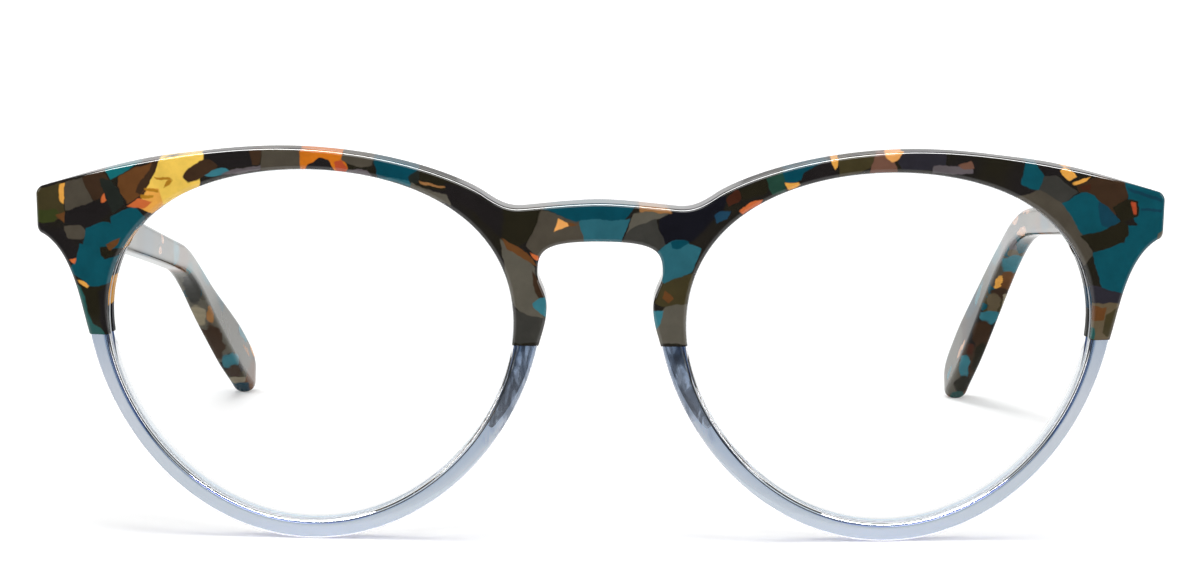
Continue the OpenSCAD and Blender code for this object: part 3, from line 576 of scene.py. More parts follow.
# Chips of the front: a shade and the corners of a convex outline, as x and z in mm on its face
CHIPS = [
    ("olive", -67.6, 37.8, -65.1, 37.8, -63.8, 38.3, -64.3, 42.5, -67.4, 41.3),
    ("olive_dark", -67.4, 37.6, -65.1, 37.7, -64.5, 38.5, -65, 39.2, -67.4, 39.1),
    ("amber", -64.4, 40, -63.9, 39.6, -63.8, 42.5, -64.4, 42.3),
    ("brown", -65, 38.4, -64.5, 37.9, -63.9, 37.5, -63.8, 38.8),
    ("grey_dark", -63.8, 38.9, -63.3, 38.8, -60.4, 40.3, -61.7, 43.2, -63.8, 42.6),
    ("brown_dark", -61.7, 43.1, -60.4, 40.4, -58.2, 41.4, -58.4, 42.8, -59.2, 43.9),
    ("black", -63.9, 37.5, -61.3, 37, -59.6, 37.7, -58.7, 38.7, -58.2, 40.3, -60.4, 40.3, -63.8, 38.6),
    ("orange", -59.6, 40.5, -59.5, 40.2, -58.3, 40.9, -58.4, 41.5, -59.1, 41.4),
    ("grey_dark", -64, 37.2, -63.5, 35.7, -61.8, 35.7, -61.2, 36.3, -61.6, 37.2),
    ("teal", -58.2, 36.2, -55.3, 36, -53.9, 38.6, -55.3, 40, -58.5, 38.5),
    ("teal", -61.8, 34.9, -56.2, 34.6, -55.2, 36.4, -59, 37.9, -61.3, 37),
    ("teal", -63.3, 31.6, -60.6, 29.9, -59.1, 30.2, -58.7, 32.8, -59.5, 35.1, -62.2, 35.2),
    ("teal", -59.4, 33.3, -59.3, 30.1, -58.2, 30.6, -56.9, 34),
    ("olive_black", -59.5, 34.9, -59.3, 33.7, -58.7, 33.4, -57.8, 34.2, -58.4, 34.9),
    ("brown", -58.9, 35.2, -58.4, 34.5, -57.6, 34.9, -57.1, 36), ("orange", -63.4, 33.2, -62.8, 32.7, -62.7, 33.6),
    ("olive_black", -62.3, 30.1, -61.1, 24.2, -59.2, 24.3, -59.1, 30.2),
    ("teal_green", -61.3, 26.2, -61.2, 23.7, -59.2, 23.8, -59.4, 24.7),
    ("teal_green", -62.8, 30.2, -61.3, 25.4, -60.4, 25.2, -60.9, 26.7, -62.2, 30),
    ("amber", -62.4, 30.6, -62.1, 30.1, -61.3, 29.8, -61, 30.2, -61.7, 30.6),
    ("black", -59.9, 29.4, -59.4, 24.5, -58.5, 24.3, -58.8, 30.1),
    ("teal_bright", -59, 44, -58.2, 42.9, -55.3, 44.6, -53.6, 45.8, -58.1, 44.6),
    ("black_green", -59.6, 42.8, -58.2, 38.9, -56.5, 40, -57, 41.5, -58.2, 42.9),
    ("brown", -57.5, 42.4, -56.2, 40.1, -54.4, 41.4, -52.9, 43.3, -51.9, 45.7, -55, 44.6, -57.2, 43.4),
    ("brown_dark", -55.3, 41.5, -54.7, 41.2, -52.6, 44, -51.9, 45.7, -53.1, 45.7),
    ("yellow", -54.1, 41.8, -51.9, 39.1, -47.6, 41.6, -47.2, 45.6, -47.3, 46.5, -52.3, 45.6),
    ("amber", -55, 40, -52.9, 38.9, -51.9, 40.1, -52.6, 42.1, -53.9, 42),
    ("orange", -56.2, 39.9, -54.1, 39.7, -53.3, 40.5, -54.9, 40.9),
    ("ochre", -53.2, 43.5, -53, 43.2, -51.2, 43, -50.7, 43, -51.2, 43.4),
    ("ochre", -52, 42.1, -51.7, 42.1, -50.7, 43, -51.4, 43.1),
    ("ochre", -54.3, 42, -54.2, 41.7, -52.6, 41.6, -52.7, 42),
    ("ochre", -54.7, 40.9, -53.3, 40.9, -53.2, 41.2, -54.7, 41.3),
    ("brown_dark", -49.7, 43.6, -48.8, 42.9, -47, 43.6, -44.2, 45.7, -47.2, 45.8),
    ("black", -47.2, 46.3, -44.9, 44.7, -40.3, 45.4, -40.3, 47.1),
    ("brown_dark", -41.6, 46.9, -41.3, 45.3, -40.3, 45.4, -40.3, 47.1),
    ("teal_pale", -47, 43.7, -45.6, 43.7, -43.7, 44.4, -44.2, 44.8, -46, 44.6),
    ("grey_violet", -44.9, 44, -40.1, 44.6, -40.1, 45.3, -43.7, 44.7),
    ("grey_dark", -40.3, 47.2, -40.1, 44.4, -35.5, 44.5, -35.6, 47.3),
    ("amber_deep", -35.6, 44.7, -30.7, 44.4, -29.8, 45.1, -30.5, 47.2, -35.6, 47.3),
    ("orange_red", -31.4, 45.8, -31.1, 44.8, -30.7, 44.4, -29.8, 45.1, -30.5, 46.1),
    ("black", -35.2, 44.5, -31, 44.3, -32, 46, -33.2, 46.3, -35, 45.3),
    ("grey_dark", -30.6, 46.1, -28.5, 45.1, -26.8, 45.5, -26.6, 46.5, -30.5, 47.1),
    ("grey_violet", -30.4, 44.4, -27, 43.7, -26.8, 44.2, -27.6, 44.9, -29.9, 45),
    ("teal_deep", -26.3, 44, -23.1, 43.1, -21.2, 45.5, -26.7, 46.4),
    ("teal_mid", -26.3, 43.7, -22.3, 42.9, -22.3, 43.5, -26.3, 44.2),
    ("black_green", -22.8, 44, -22.5, 43.3, -21.2, 43.5, -20.7, 44.3, -21.5, 45.1),
    ("olive_black", -21.3, 43.6, -20.4, 42.9, -17.8, 42.5, -16.6, 43.7, -21.3, 45.4),
    ("amber_dull", -21.3, 43.8, -21.2, 43.5, -20.1, 43.1, -17.9, 42.8, -18, 43),
    ("grey", -22.5, 42.9, -17.8, 40.8, -18.2, 42.1, -22.3, 43.5),
    ("black", -18.3, 43.6, -18.2, 42.2, -14.2, 39.4, -14.2, 42.3),
    ("black", -14.7, 39.9, -11.8, 37.4, -9.9, 36.6, -10, 40.7, -14.7, 42.7),
    ("olive_black", -11.5, 37.3, -10.1, 36, -6.9, 37.6, -6.8, 40.8, -11.4, 40.9),
    ("grey_dark", -8.8, 36.2, -7.6, 35, -1.8, 36.3, -2.4, 39.2, -6.8, 40.5),
    ("teal_deep", -6.8, 40.6, -2.4, 39.1, 0.4, 38.9, 2.6, 39.2, 4.4, 41.2, 0, 41.5, -4.8, 41.2),
    ("teal_mid", -2.6, 39.2, -1.9, 36.3, 2.4, 36.4, 3.6, 39.6), ("amber_light", -5.6, 37.7, -3.2, 38.9, -5, 39.5),
    ("brown", -3.8, 39.2, -3.6, 38.6, -2.6, 39), ("amber_dull", 4.4, 41.4, 4.7, 40.2, 8.5, 40.3, 8, 40.8),
    ("grey", 3.2, 37.8, 4.7, 38.3, 8.1, 40.3, 3.9, 40.2),
    ("char", 2.5, 36.4, 6.7, 35.7, 7.7, 36.6, 6.6, 39.5, 3.4, 38.2),
    ("navy", 6.9, 39.5, 7.5, 36.7, 10.6, 36.7, 14.4, 40.1, 14.8, 42.4, 8.5, 40.5),
    ("teal_mid", 6.7, 35.5, 7.3, 31.9, 8.1, 31.6, 10.8, 33.2, 11.9, 35.9, 9.1, 37.2, 7.7, 36.7),
    ("teal_deep", 8.3, 36.9, 8.6, 36.1, 9.4, 36, 10.4, 36.7, 9.1, 37.2),
    ("grey", -11.8, 37.1, -10.6, 29.5, -9.4, 28.2, -6.6, 27.4, -7.7, 33.8),
    ("brown", -11.6, 37.2, -11, 35.8, -7.3, 33.7, -8, 34.7, -9.5, 36),
    ("orange", -8.5, 35.5, -7.9, 34.7, -7.3, 34.5, -7.2, 35.1),
    ("brown_dark", -8, 33.3, -7.7, 31.4, -7.1, 30, -6.2, 30.5, -7.4, 32.6),
    ("teal_pale", -7.8, 29.4, -7.7, 28.8, -6.2, 27.4, -6.1, 30.1, -7, 30.2),
    ("char", -10.8, 24.6, -6.8, 24.6, -6.5, 27.4, -10.8, 28.8),
    ("olive", 6.4, 29.5, 7.6, 28.8, 10.7, 29.1, 10.9, 33.1, 7.3, 31.6),
    ("brown", 7.4, 30.1, 8.1, 29.2, 8.8, 29.8, 7.8, 31), ("olive_black", 5.7, 29.6, 6.5, 29.8, 7.5, 31.6, 7.2, 32.7),
    ("grey", 6.2, 26.5, 6.6, 24.4, 10.7, 24.5, 10.7, 29.4, 7.6, 28.8),
    ("teal_pale", 5.7, 26, 6.6, 26, 7.3, 27, 7.6, 28.4, 5.7, 28.6),
    ("red_dark", 14.6, 41.7, 15, 40.8, 16.3, 41.5, 16.7, 42.4, 15.9, 42.9),
    ("blue", 13.4, 39.8, 13.7, 38.9, 15, 39.6, 15.4, 40.4, 14.1, 40.4),
    ("olive_black", 16.3, 42.9, 16.5, 41.5, 19.3, 42.4, 20.3, 43.6, 19.8, 44.3),
    ("green", 19.4, 44.2, 20.3, 42.4, 21.9, 42.6, 22, 43.8, 21.6, 45.1),
    ("teal_deep", 21.3, 45, 21.9, 43.8, 23.2, 43.9, 27.4, 46.6, 22.4, 45.6),
    ("amber", 21.8, 43.8, 22.2, 42.9, 23.6, 43.5, 23.4, 43.9),
    ("orange", 16.2, 40.4, 16.7, 40.1, 18.9, 41.1, 19.2, 41.8, 17.9, 41.5),
    ("black", 23.6, 43.9, 25.4, 43.7, 27.9, 44.3, 27.2, 46.5, 23.9, 45),
    ("amber", 27.1, 46.5, 27.6, 45.2, 28, 45.7, 28.1, 46.6), ("olive", 28.1, 44.3, 32, 45.4, 32.5, 47.3, 28.1, 46.5),
    ("brown_pink", 31.8, 44.7, 35.1, 44.7, 35.1, 45.4, 33.9, 47.4, 32.5, 47.3),
    ("amber_light", 33.4, 47.4, 33.7, 46.5, 34.5, 46, 35.2, 46.3, 35.9, 47.5),
    ("navy_grey", 35.1, 46.1, 35.5, 45.1, 40.8, 45.1, 40.8, 47.4, 35.9, 47.6),
    ("grey_violet", 39.3, 44.7, 44.1, 44.4, 44.1, 45, 42.4, 45.6, 39.3, 45.6),
    ("brown_pink", 42.2, 45.7, 42.9, 45, 44.3, 45, 43.8, 46),
    ("teal", 49.9, 43.2, 52, 42.2, 52.6, 43.7, 51.4, 46.1, 50.4, 46),
    ("char", 52, 42.2, 54.8, 40.9, 56.6, 42.1, 54.2, 44.2, 52.4, 43.9),
    ("grey_dark", 49, 41.8, 57.4, 33.2, 58.6, 34.7, 54.9, 41.1, 52, 42.4),
    ("amber", 54.5, 44.7, 55.6, 43.5, 56.4, 44, 56.1, 44.6, 55.1, 45.1),
    ("amber", 55.9, 43.3, 56, 43, 57.1, 43.1, 58.2, 43.8, 57.1, 43.8),
    ("brown_dark", 56.4, 42.9, 56.6, 42.1, 61.3, 39.1, 62.7, 41.1, 62.7, 43.1, 59.5, 44),
    ("red_dark", 56.9, 42.4, 58.1, 42.2, 58.3, 43, 56.9, 42.8),
    ("teal", 54.8, 41, 57.4, 36.7, 60.6, 37.5, 61.9, 38.4, 58.6, 41.8, 57.1, 42.1),
    ("teal_blue", 59.3, 40.9, 59.6, 38.2, 60.5, 37.7, 61.9, 38.4, 60.3, 40.4),
    ("teal", 62.4, 43.2, 62.8, 41.1, 64.2, 37.6, 67.7, 37.3, 67.2, 42),
    ("teal", 62.5, 34.8, 64.1, 34.1, 67.6, 36.8, 67.7, 38, 62.9, 38.1),
    ("teal", 58.4, 34.9, 59.7, 30.4, 62.6, 29.6, 64.7, 35.4, 62.3, 36),
    ("olive_black", 61, 40.1, 62, 38.2, 64.2, 39.2, 64.2, 40.9, 62.7, 41.3),
    ("olive_black", 57, 36.7, 58.8, 35, 62.2, 35.9, 63.1, 36.8, 62.9, 38.1, 62, 38.4),
    ("orange_red", 63.2, 40.9, 63.6, 39.3, 63.9, 39.3, 64, 40.7),
    ("grey", 66.4, 35.6, 67.6, 36.1, 67.4, 37.5, 66.4, 36.8),
    ("teal_blue", 62.7, 42.5, 62.9, 42, 66.9, 40.7, 66.9, 41.1),
    ("teal_blue", 64.4, 39.7, 66.9, 39.5, 66.9, 39.9, 64.4, 40),
    ("navy_grey", 58.4, 30.9, 58.5, 29.1, 59.4, 28.5, 62, 28.2, 62.6, 29.7),
    ("khaki", 58.2, 28.9, 58.3, 24.4, 60.7, 24.4, 61.4, 25.4, 62.1, 28.4),
    ("olive", 60, 25.2, 60.7, 24.6, 61.4, 25.4, 61.9, 28.1, 60.4, 27.4),
    ("brown", 58.7, 26.5, 60.2, 26.7, 60.4, 28.2, 58.7, 28.5),
    ("teal_green", 58.3, 24.4, 59.1, 24.4, 59, 25.7, 58.3, 25.9),
]
# Chips seen only on the walls of the two openings, behind the face
WALL_CHIPS = [
    ("amber", -58, 34.4, -52, 34.4, -52, 37, -58, 37), ("black", -60, 31.2, -53, 31.2, -53, 34.4, -60, 34.4),
    ("amber", -61, 27.6, -56, 27.6, -56, 31.2, -61, 31.2), ("navy", -61, 24, -56, 24, -56, 27.6, -61, 27.6),
    ("black", 50, 30.6, 60, 30.6, 60, 38.5, 50, 38.5), ("blue", 55, 27.6, 61, 27.6, 61, 30.6, 55, 30.6),
    ("char", 55, 24, 61, 24, 61, 27.6, 55, 27.6),
]
# Chips of the temples: a shade, the distance from the hinge, the place across and up (-1 to 1, outwards and upwards
# from the middle) and the half lengths along, across and up in mm
ARM_CHIPS = {
    "right": [
        ("grey", 128, -1, 0, 18, 0.9, 3.2), ("teal_bright", 106, -1, 0.7, 3.4, 0.9, 0.9),
        ("teal_bright", 97, -1, -0.6, 2.6, 0.9, 0.8), ("grey", 104, 0.9, -1, 8, 0.9, 1),
        ("char", 106, -0.3, -1, 7.5, 1.2, 1.1), ("beige", 117, 0.4, -1, 3.6, 1.2, 0.9),
        ("amber_dull", 116.5, -0.8, -1, 3, 0.6, 0.8), ("brown_dark", 126, 0.1, -1, 6.8, 1.3, 1.1),
        ("teal_pale", 133, -0.3, -1, 2.6, 1.3, 1.5), ("brown_dark", 137, -0.2, -1, 2.6, 1, 1),
        ("beige", 140.4, 0, -1, 1.5, 1.3, 0.9), ("teal_blue", 143.6, 0.1, -1, 2.6, 1.3, 1),
        ("teal_pale", 84, -1, 0, 2.6, 1, 2), ("teal_pale", 109, -1, 0.55, 5, 0.8, 0.8),
        ("peach", 72, -1, 0.5, 1.2, 0.6, 0.7), ("peach", 70, -1, -0.4, 1.4, 0.6, 0.6),
        ("teal_pale", 136, -1, 0.9, 3.4, 0.8, 0.9), ("amber_dull", 139, -1, 0.35, 2.6, 0.6, 0.35),
        ("amber_light", 144, -1, 0.9, 4.2, 0.8, 0.7),
    ],
    "left": [
        ("grey", 138, -1, 0, 10, 1, 3.4), ("grey_violet", 104, -1, 0.4, 9, 0.8, 2.2),
        ("char", 96, -1, -0.2, 4, 0.8, 1.6), ("peach", 92, -1, 0.55, 3.2, 0.8, 0.7),
        ("peach", 84, -1, 0.85, 4.8, 0.8, 0.5), ("peach", 86.5, -1, -0.7, 4.4, 0.7, 0.55),
        ("grey_violet", 97, -0.7, -0.9, 3.6, 0.7, 0.6), ("khaki", 101.6, -0.3, -1, 2.4, 0.9, 0.7),
        ("teal_pale", 108, -1, 0.3, 4, 0.7, 1.3), ("teal_pale", 106.2, 0.1, -1, 3.8, 1.5, 1.1),
        ("brown", 112.6, 0.3, -1, 3.4, 1.3, 1), ("amber", 113, -0.4, -1, 2, 0.6, 0.6),
        ("brown_dark", 116.4, 0.2, -1, 1.7, 1.4, 0.9), ("beige", 119.2, 0.9, -1, 2.5, 0.6, 0.8),
        ("khaki", 119, -0.2, -1, 2.7, 0.9, 0.9), ("teal_pale", 122.9, 0, -1, 1.9, 1.4, 0.9),
        ("teal_pale", 122, -1, 0.35, 5, 0.6, 0.9), ("brown_dark", 127.6, 0, -1, 3.9, 1.4, 1),
        ("red_dark", 131.6, -0.5, -1, 1.6, 0.5, 0.6), ("olive_black", 133.6, 0.6, -1, 4.2, 0.9, 1),
        ("teal_pale", 136.3, -0.35, -1, 3.4, 0.8, 0.8), ("olive_black", 141, 0.1, -1, 2.7, 1.4, 1),
        ("teal_green", 144.8, 0, -1, 2, 1.2, 1), ("peach", 134, -1, -0.4, 3.8, 0.6, 0.5),
        ("teal_pale", 142, -1, -0.2, 2.6, 0.6, 0.6),
    ],
}
# Shades of the temples' ground pattern
GROUND = ("black", "teal", "grey", "olive_black", "brown", "char", "teal_deep", "khaki", "grey_dark", "teal_blue",
          "brown_dark", "olive")
GROUND_CELL = 115.0  # cells of it in a metre
FRONT_WARP, ARM_WARP = 0.0012, 0.0018  # how far the chips' outlines waver, in metres
CHIP_ROUND, CHIP_BLUR, WALL_BLUR, ARM_SHARP = 0.3, 0.14, 0.2, 5.0  # corners and edges of the chips
# Specular levels, what the dull parts lose of them, and the share that the tips keep
FRONT_GLOSS, FRONT_DULL, ARM_GLOSS, ARM_DULL, TIP_GLOSS = 0.5, 0.49, 0.42, 0.4, 0.2


def outlined(n, place, chip, colour, blur=CHIP_BLUR, mask=None):
    """Lays one convex chip over colour: the largest distance outside its edges decides, with rounded corners."""
    p = list(zip(chip[1::2], chip[2::2]))
    far = None
    for (ax, az), (bx, bz) in zip(p, p[1:] + p[:1]):
        length = math.hypot(bx - ax, bz - az)
        ex, ez = (bx - ax) / length, (bz - az) / length
        edge = n.vec("DOT_PRODUCT", place, (ez, az * ex - ax * ez, -ex))
        far = edge if far is None else n.math("SMOOTH_MAX", far, edge, CHIP_ROUND)
    inside = n.line(far, -1 / blur, 0.5)
    if mask is not None:
        inside = n.math("MULTIPLY", inside, mask)
    return n.mix(inside, colour, linear(SHADES[chip[0]]))


def front_pattern(n, coord, warped):
    """Colour and gloss of the front: dark ground, and chips by their place on its face."""
    colour = n.ramp(n.noise(coord, 160.0), [(0.35, linear(SHADES["black"])), (0.65, linear(SHADES["olive_black"]))])
    x, y, z = n.axes(n.vec("MULTIPLY", warped, (1000, 1000, 1000)))
    # with 1 as its middle number, one dot product gives the distance from an edge
    place = n.add("CombineXYZ", X=x, Y=1.0, Z=z).outputs[0]
    bow = n.math("MULTIPLY", n.math("MULTIPLY", x, x), 0.5 / WRAP_R)
    up = n.math("SUBTRACT", z, JOINT_Z)
    fall = n.math("MULTIPLY", n.math("MULTIPLY", up, up), 0.5 / FACE_R)
    behind = n.line(n.math("SUBTRACT", n.math("SUBTRACT", y, bow), fall), 6.0, -3.0)
    # the routed walls are duller than the polished faces, but for those at the bridge
    aside = n.line(n.math("ABSOLUTE", x), 0.2, -2.4)
    gloss = n.math("MULTIPLY_ADD", n.math("MULTIPLY", behind, aside), -FRONT_DULL, FRONT_GLOSS)
    for chip in CHIPS:
        colour = outlined(n, place, chip, colour)
    for chip in WALL_CHIPS:
        colour = outlined(n, place, chip, colour, WALL_BLUR, behind)
    return colour, gloss


def arm_pattern(n, coord, warped, side, flip):
    """Colour and gloss of a temple: a ground of cells, and chips by their place along it."""
    cells = n.add("TexVoronoi", {"feature": "F1", "voronoi_dimensions": "3D"}, Vector=warped, Scale=GROUND_CELL)
    pick = n.add("SeparateColor", Color=cells.outputs["Color"]).outputs[0]
    colour = n.ramp(pick, [(i / len(GROUND), linear(SHADES[k])) for i, k in enumerate(GROUND)], "CONSTANT")
    # the underside and the tip are duller
    down = n.line(n.axes(n.add("NewGeometry").outputs["Normal"])[2], -2.5, -0.6)
    high = n.line(n.axes(coord)[2], 70.0, -0.35)
    gloss = n.math("MULTIPLY", n.math("MULTIPLY_ADD", down, -ARM_DULL, ARM_GLOSS),
                   n.math("MULTIPLY_ADD", high, 1 - TIP_GLOSS, TIP_GLOSS))
    for shade, s, across, up, half, wide, tall in ARM_CHIPS[side]:
        mid, lift, thick, height = temple_line(SET_LEFT if side == "left" else SET_RIGHT, np.array([float(s)]))
        spot = mid[0] + np.array([across * thick[0] / 2, 0, 0]) + up * height[0] / 2 * lift[0]
        at_x = -spot[0] if flip else spot[0]
        node = n.add("Mapping", {"vector_type": "TEXTURE"}, Vector=warped,
                     Location=(at_x * MM, spot[1] * MM, spot[2] * MM),
                     Rotation=(-math.atan2(lift[0][1], lift[0][2]), 0, 0), Scale=(wide * MM, half * MM, tall * MM))
        inside = n.line(n.vec("LENGTH", node.outputs[0]), -ARM_SHARP, ARM_SHARP + 0.5)
        colour = n.mix(inside, colour, linear(SHADES[shade]))
    return colour, gloss


def acetate(name, side=None, flip=False):
    """Polished patterned acetate: chips of several colours pressed together under a glossy face."""
    n = Nodes(name)
    coord = n.square()
    wave = n.vec("SUBTRACT", n.noise(coord, 330.0, 3.0, 0.55, out="Color"), (0.5, 0.5, 0.5))
    shift = n.add("VectorMath", {"operation": "SCALE"}, _0=wave, Scale=ARM_WARP if side else FRONT_WARP).outputs[0]
    warped = n.vec("ADD", coord, shift)
    colour, gloss = arm_pattern(n, coord, warped, side, flip) if side else front_pattern(n, coord, warped)
    veins = n.ramp(n.noise(coord, 380.0, 6.0, 0.62), [(0.28, (0.74, 0.74, 0.74, 1)), (0.72, (1.16, 1.16, 1.16, 1))])
    colour = n.mix(0.7, colour, veins, "MULTIPLY")
    rough = n.math("MULTIPLY_ADD", n.noise(coord, 1400.0, 3.0), 0.05, 0.02)
    bump = n.add("Bump", Strength=0.02, Distance=0.0001, Height=n.noise(coord, 180.0))
    return n.surface(n.add("BsdfPrincipled", Base_Color=colour, Roughness=rough, IOR=PLASTIC_IOR,
                           Specular_IOR_Level=gloss, Normal=bump))


def painted_reflection_streaks(n, coord):
    """Swirls drawn out along the nose side of the rims, which lay out the painted reflection of the dark front."""
    return n.noise(n.vec("MULTIPLY", coord, (1.0, 1.0, 0.3)), 420.0, 3.0, 0.55, 1.4)


def crystal_plastic():
    """The clear plastic of the lower rims."""
    n = Nodes("crystal_acetate")
    coord = n.square()
    x, _, z = n.axes(n.vec("MULTIPLY", coord, (1000, 1000, 1000)))
    # painted light: the rim is painted paler towards the joint line, and by the nose a painted reflection of the dark
    # front lies in it as dark swirls
    tint = n.mix(n.line(z, 0.08, -0.4), (0.81, 0.895, 0.96, 1), (0.99, 1, 1, 1))
    # painted reflection: dark swirls that stand for the dark front mirrored inside the rim, laid on only in a zone by
    # the nose
    painted_front_reflection = n.ramp(painted_reflection_streaks(n, coord), [(0.44, (0.4, 0.44, 0.5, 1)), (0.54, (0.96, 0.98, 1, 1))])
    reach = n.math("MULTIPLY_ADD", n.math("SUBTRACT", JOINT_Z, z), 0.4, 9.6)
    painted_reflection_zone = n.math("SUBTRACT", reach, n.math("ABSOLUTE", x), clamp=True)
    tint = n.mix(n.math("MULTIPLY", painted_reflection_zone, n.line(z, 0.5, -5.8)), tint, painted_front_reflection)
    rough = n.math("MULTIPLY_ADD", n.noise(coord, 900.0), 0.012, 0.0)
    vol = n.add("VolumeAbsorption", Color=(0.3, 0.5, 0.72, 1), Density=8.0)
    n.tree.links.new(vol.outputs[0], n.out.inputs[1])
    return n.surface(n.glass(tint, rough, linear((225, 232, 240))))


def clear_lens():
    """A coated lens: seen straight through, with a mirror on it that grows at a slant."""
    n = Nodes("clear_lens")
    tint = n.ramp(n.noise(n.square(), 60.0), [(0.3, linear((253, 254, 254))), (0.7, linear((255, 255, 255)))])
    slant = n.math("POWER", n.add("LayerWeight", Blend=0.5).outputs["Facing"], 4.0)
    share = n.math("MULTIPLY_ADD", slant, 0.55, 0.012)
    through, mirror = n.add("BsdfTransparent", Color=tint), n.add("BsdfGlossy", Roughness=0.02)
    return n.surface(n.add("MixShader", _0=share, _1=through, _2=mirror))


def pad_plastic():
    """The clear plastic of the nose pads, with a painted reflection of the dark half of the front laid in it as dark
    swirls.
    """
    n = Nodes("crystal_acetate_pad")
    # painted reflection: the two dark stops stand for the dark front mirrored in the pad, the pale stop is the
    # plastic's own tint
    tint = n.ramp(painted_reflection_streaks(n, n.square()), [(0.4, (0.1, 0.115, 0.14, 1)), (0.5, (0.18, 0.21, 0.25, 1)),
                                           (0.56, (0.62, 0.69, 0.78, 1))])
    return n.surface(n.glass(tint, 0.02, linear((205, 212, 222))))


def ground_edge():
    """The matt edge of a lens, which glows white in its groove and takes a little of the clear rims' tint."""
    n = Nodes("ground_lens_edge")
    coord = n.square()
    colour = n.ramp(n.noise(coord, 2600.0, 3.0), [(0.3, linear((236, 240, 244))), (0.7, linear((250, 251, 252)))])
    colour = n.mix(n.line(n.axes(coord)[2], -1000.0, JOINT_Z), colour, linear((233, 238, 243)))
    matt, thin = n.add("BsdfDiffuse", Color=colour), n.add("BsdfTranslucent", Color=colour)
    return n.surface(n.add("MixShader", _0=0.4, _1=matt, _2=thin))


def hidden_edge():
    """The edge of a lens in its groove, through which the wall behind it is seen."""
    n = Nodes("lens_edge_in_groove")
    tint = n.ramp(n.noise(n.square(), 1500.0), [(0.3, linear((246, 248, 250))), (0.7, linear((252, 253, 254)))])
    return n.surface(n.add("BsdfTransparent", Color=tint))


def metal(name, colour, base_rough, grain):
    """Metal brushed across: grain is how fine the strokes are along x."""
    n = Nodes(name)
    coord = n.add("TexCoord").outputs["Object"]
    brushed = n.noise(n.vec("MULTIPLY", coord, (grain, 300.0, 300.0)), 12.0, 3.0)
    tint = n.ramp(brushed, [(0.3, linear(tuple(int(v * 0.86) for v in colour))), (0.7, linear(colour))])
    rough = n.math("MULTIPLY_ADD", brushed, 0.16, base_rough)
    bump = n.add("Bump", Strength=0.06, Distance=0.00005, Height=brushed)
    return n.surface(n.add("BsdfPrincipled", Base_Color=tint, Metallic=1.0, Roughness=rough, Normal=bump))


def dress(obj, *mats):
    """Gives every slot of obj its material, the last one for any that are left."""
    if not obj.material_slots:
        obj.data.materials.append(None)
    for k, s in enumerate(obj.material_slots):
        s.material = mats[min(k, len(mats) - 1)]


dark = acetate("patterned_acetate")
arms = {"left": acetate("patterned_acetate_temple_left", "left"),
        "right": acetate("patterned_acetate_temple_right", "right", flip=True)}
crystal, lens, pad = crystal_plastic(), (clear_lens(), ground_edge(), hidden_edge()), pad_plastic()
steel = metal("hinge_nickel", (196, 194, 190), 0.2, 60.0)
screw = metal("screw_steel", (172, 172, 174), 0.24, 300.0)
core = metal("core_wire_steel", (184, 184, 186), 0.22, 300.0)

dress(build_upper(), dark)
for side, flip, c in (("left", False, SET_LEFT), ("right", True, SET_RIGHT)):
    dress(build_lower(side, flip), crystal)
    dress(build_pad(side, flip), pad)
    dress(build_lens(side, flip), *lens)
    dress(build_temple(side, c, flip), arms[side])
    for node, mat in (("front_hinge_", steel), ("temple_hinge_", steel), ("hinge_screw_", screw), ("core_wire_", core)):
        dress(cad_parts[node + side], mat)

# ---------------------------------------------------------------- stage, light and camera
PAPER, FLOOR_HALF = 0.8, 4.0
MIRRORED = 0.42  # glow of the floor in glossy faces
NEAR_WHITE, FAR_WHITE = 0.24, 0.56  # glow to the camera: near the object, and what is added far behind it
NEAR_THROUGH, FAR_THROUGH = 0.41, 0.52  # the same for rays that come through clear plastic
CENTRE = (0.0, -0.03, 0.02)  # what the lamps are turned to
AMBIENT, DARK_SIDE = 0.42, 0.04  # of the studio: its light, and what glossy faces see of it towards the camera


def backdrop():
    mesh = bpy.data.meshes.new("floor")
    r = FLOOR_HALF
    mesh.from_pydata([(-r, -r, 0), (r, -r, 0), (r, r, 0), (-r, r, 0)], [], [(0, 1, 2, 3)])
    obj = bpy.data.objects.new("floor", mesh)
    bpy.context.scene.collection.objects.link(obj)
    n = Nodes("white_paper")
    coord = n.add("TexCoord").outputs["Object"]
    y = n.axes(coord)[1]
    grain = n.ramp(n.noise(coord, 700.0, 3.0), [(0.3, (PAPER,) * 3 + (1,)), (0.7, (PAPER + 0.01,) * 3 + (1,))])
    light = n.add("LightPath").outputs
    # the paper ends in front of the object, so what its faces mirror there is dark
    near = n.line(y, 20.0, 3.2)
    gone = n.math("MULTIPLY", light["Is Glossy Ray"], n.math("SUBTRACT", 1.0, near))
    mirrored = n.math("MULTIPLY", n.math("MULTIPLY", light["Is Glossy Ray"], near), MIRRORED)
    # the paper stays white towards the back, where less light falls
    distance = n.line(y, 0.9, -0.05)
    white = n.math("MULTIPLY", light["Is Camera Ray"], n.math("MULTIPLY_ADD", distance, FAR_WHITE, NEAR_WHITE))
    through = n.math("MULTIPLY", light["Is Transmission Ray"],
                     n.math("MULTIPLY_ADD", distance, FAR_THROUGH, NEAR_THROUGH))
    strength = n.math("MAXIMUM", n.math("MAXIMUM", white, through), mirrored)
    glow = n.add("Emission", Color=(1, 1, 1, 1), Strength=strength)
    lit = n.add("AddShader", _0=n.add("BsdfDiffuse", Color=grain), _1=glow)
    table = n.add("BsdfDiffuse", Color=(0.03, 0.03, 0.03, 1))
    n.surface(n.add("MixShader", _0=gone, _1=lit, _2=table))
    obj.data.materials.append(n.mat)


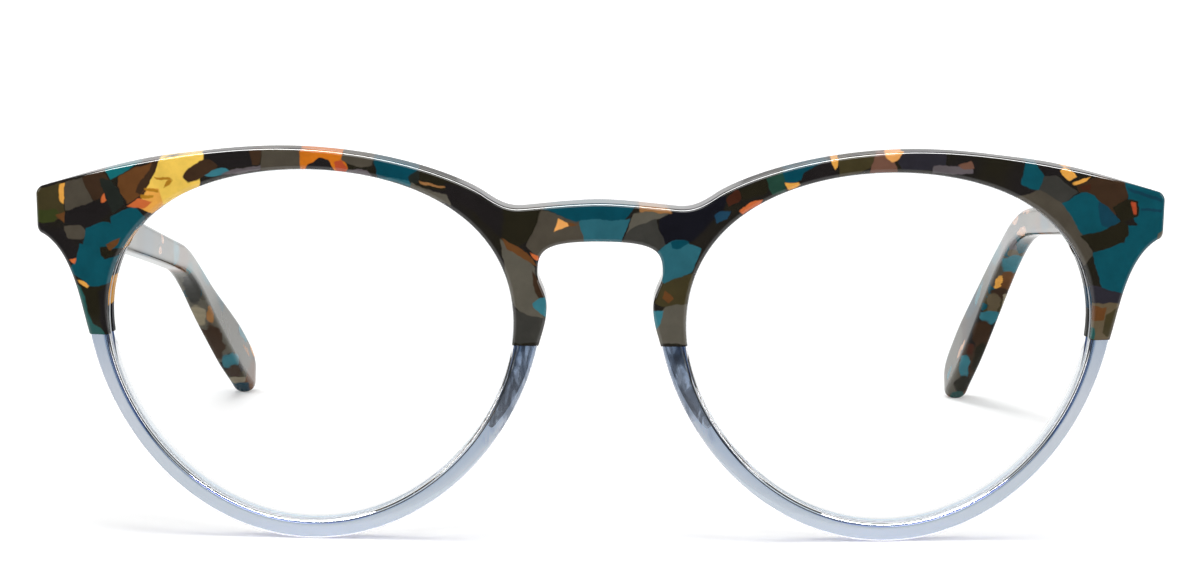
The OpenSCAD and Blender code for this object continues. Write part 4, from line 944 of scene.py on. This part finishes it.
def sky():
    """Behind the object the studio is a white sweep, and towards the camera it is dark."""
    world = bpy.data.worlds.new("studio")
    bpy.context.scene.world = world
    n = Nodes("studio", world)
    far = n.line(n.axes(n.add("TexCoord").outputs["Generated"])[1], 5.0, -2.5)
    mirrored = n.math("MULTIPLY_ADD", far, 1 - DARK_SIDE, DARK_SIDE)
    # a ray that comes through clear plastic counts as a glossy one
    light = n.add("LightPath").outputs
    seen, glossy = light["Is Camera Ray"], light["Is Glossy Ray"]
    rest = n.math("SUBTRACT", 1.0, n.math("ADD", seen, glossy), clamp=True)
    strength = n.math("MULTIPLY_ADD", rest, AMBIENT, n.math("MULTIPLY_ADD", glossy, mirrored, seen))
    n.surface(n.add("Background", Color=(1, 1, 1, 1), Strength=strength))


def lamp(name, place, size, power, gloss_only=False):
    data = bpy.data.lights.new(name, "AREA")
    data.shape = "RECTANGLE"
    data.size, data.size_y = size
    data.energy = power
    obj = bpy.data.objects.new(name, data)
    obj.location = place
    obj.rotation_euler = (Vector(CENTRE) - Vector(place)).to_track_quat("-Z", "Y").to_euler()
    obj.visible_diffuse = not gloss_only
    bpy.context.scene.collection.objects.link(obj)


backdrop()
sky()
lamp("top_strip", (-0.15, -0.12, 1.1), (1.3, 0.35), 8.0)
lamp("front_fill", (0.0, -1.5, 1.0), (0.9, 0.6), 9.5)
lamp("left_fill", (1.2, -0.35, 0.45), (0.35, 0.6), 3.5)
lamp("right_fill", (-1.2, -0.35, 0.45), (0.35, 0.6), 3.5)
lamp("edge_strip", (0.0, -0.3, 1.05), (1.5, 0.42), 62.0, gloss_only=True)

cam_data = bpy.data.cameras.new("camera")
cam_data.lens, cam_data.sensor_width, cam_data.clip_start, cam_data.clip_end = 152.4, 36.0, 0.01, 20.0
cam = bpy.data.objects.new("camera", cam_data)
cam.location = (0.0, -0.6721, 0.0922)
PITCH, ROLL = 5.86, 0.33
level = Euler((math.radians(90 - PITCH), 0, 0)).to_matrix()
cam.rotation_euler = (level @ Matrix.Rotation(math.radians(ROLL), 3, "Z")).to_euler()
bpy.context.scene.collection.objects.link(cam)
bpy.context.scene.camera = cam
bpy.context.scene.view_settings.view_transform = "Standard"
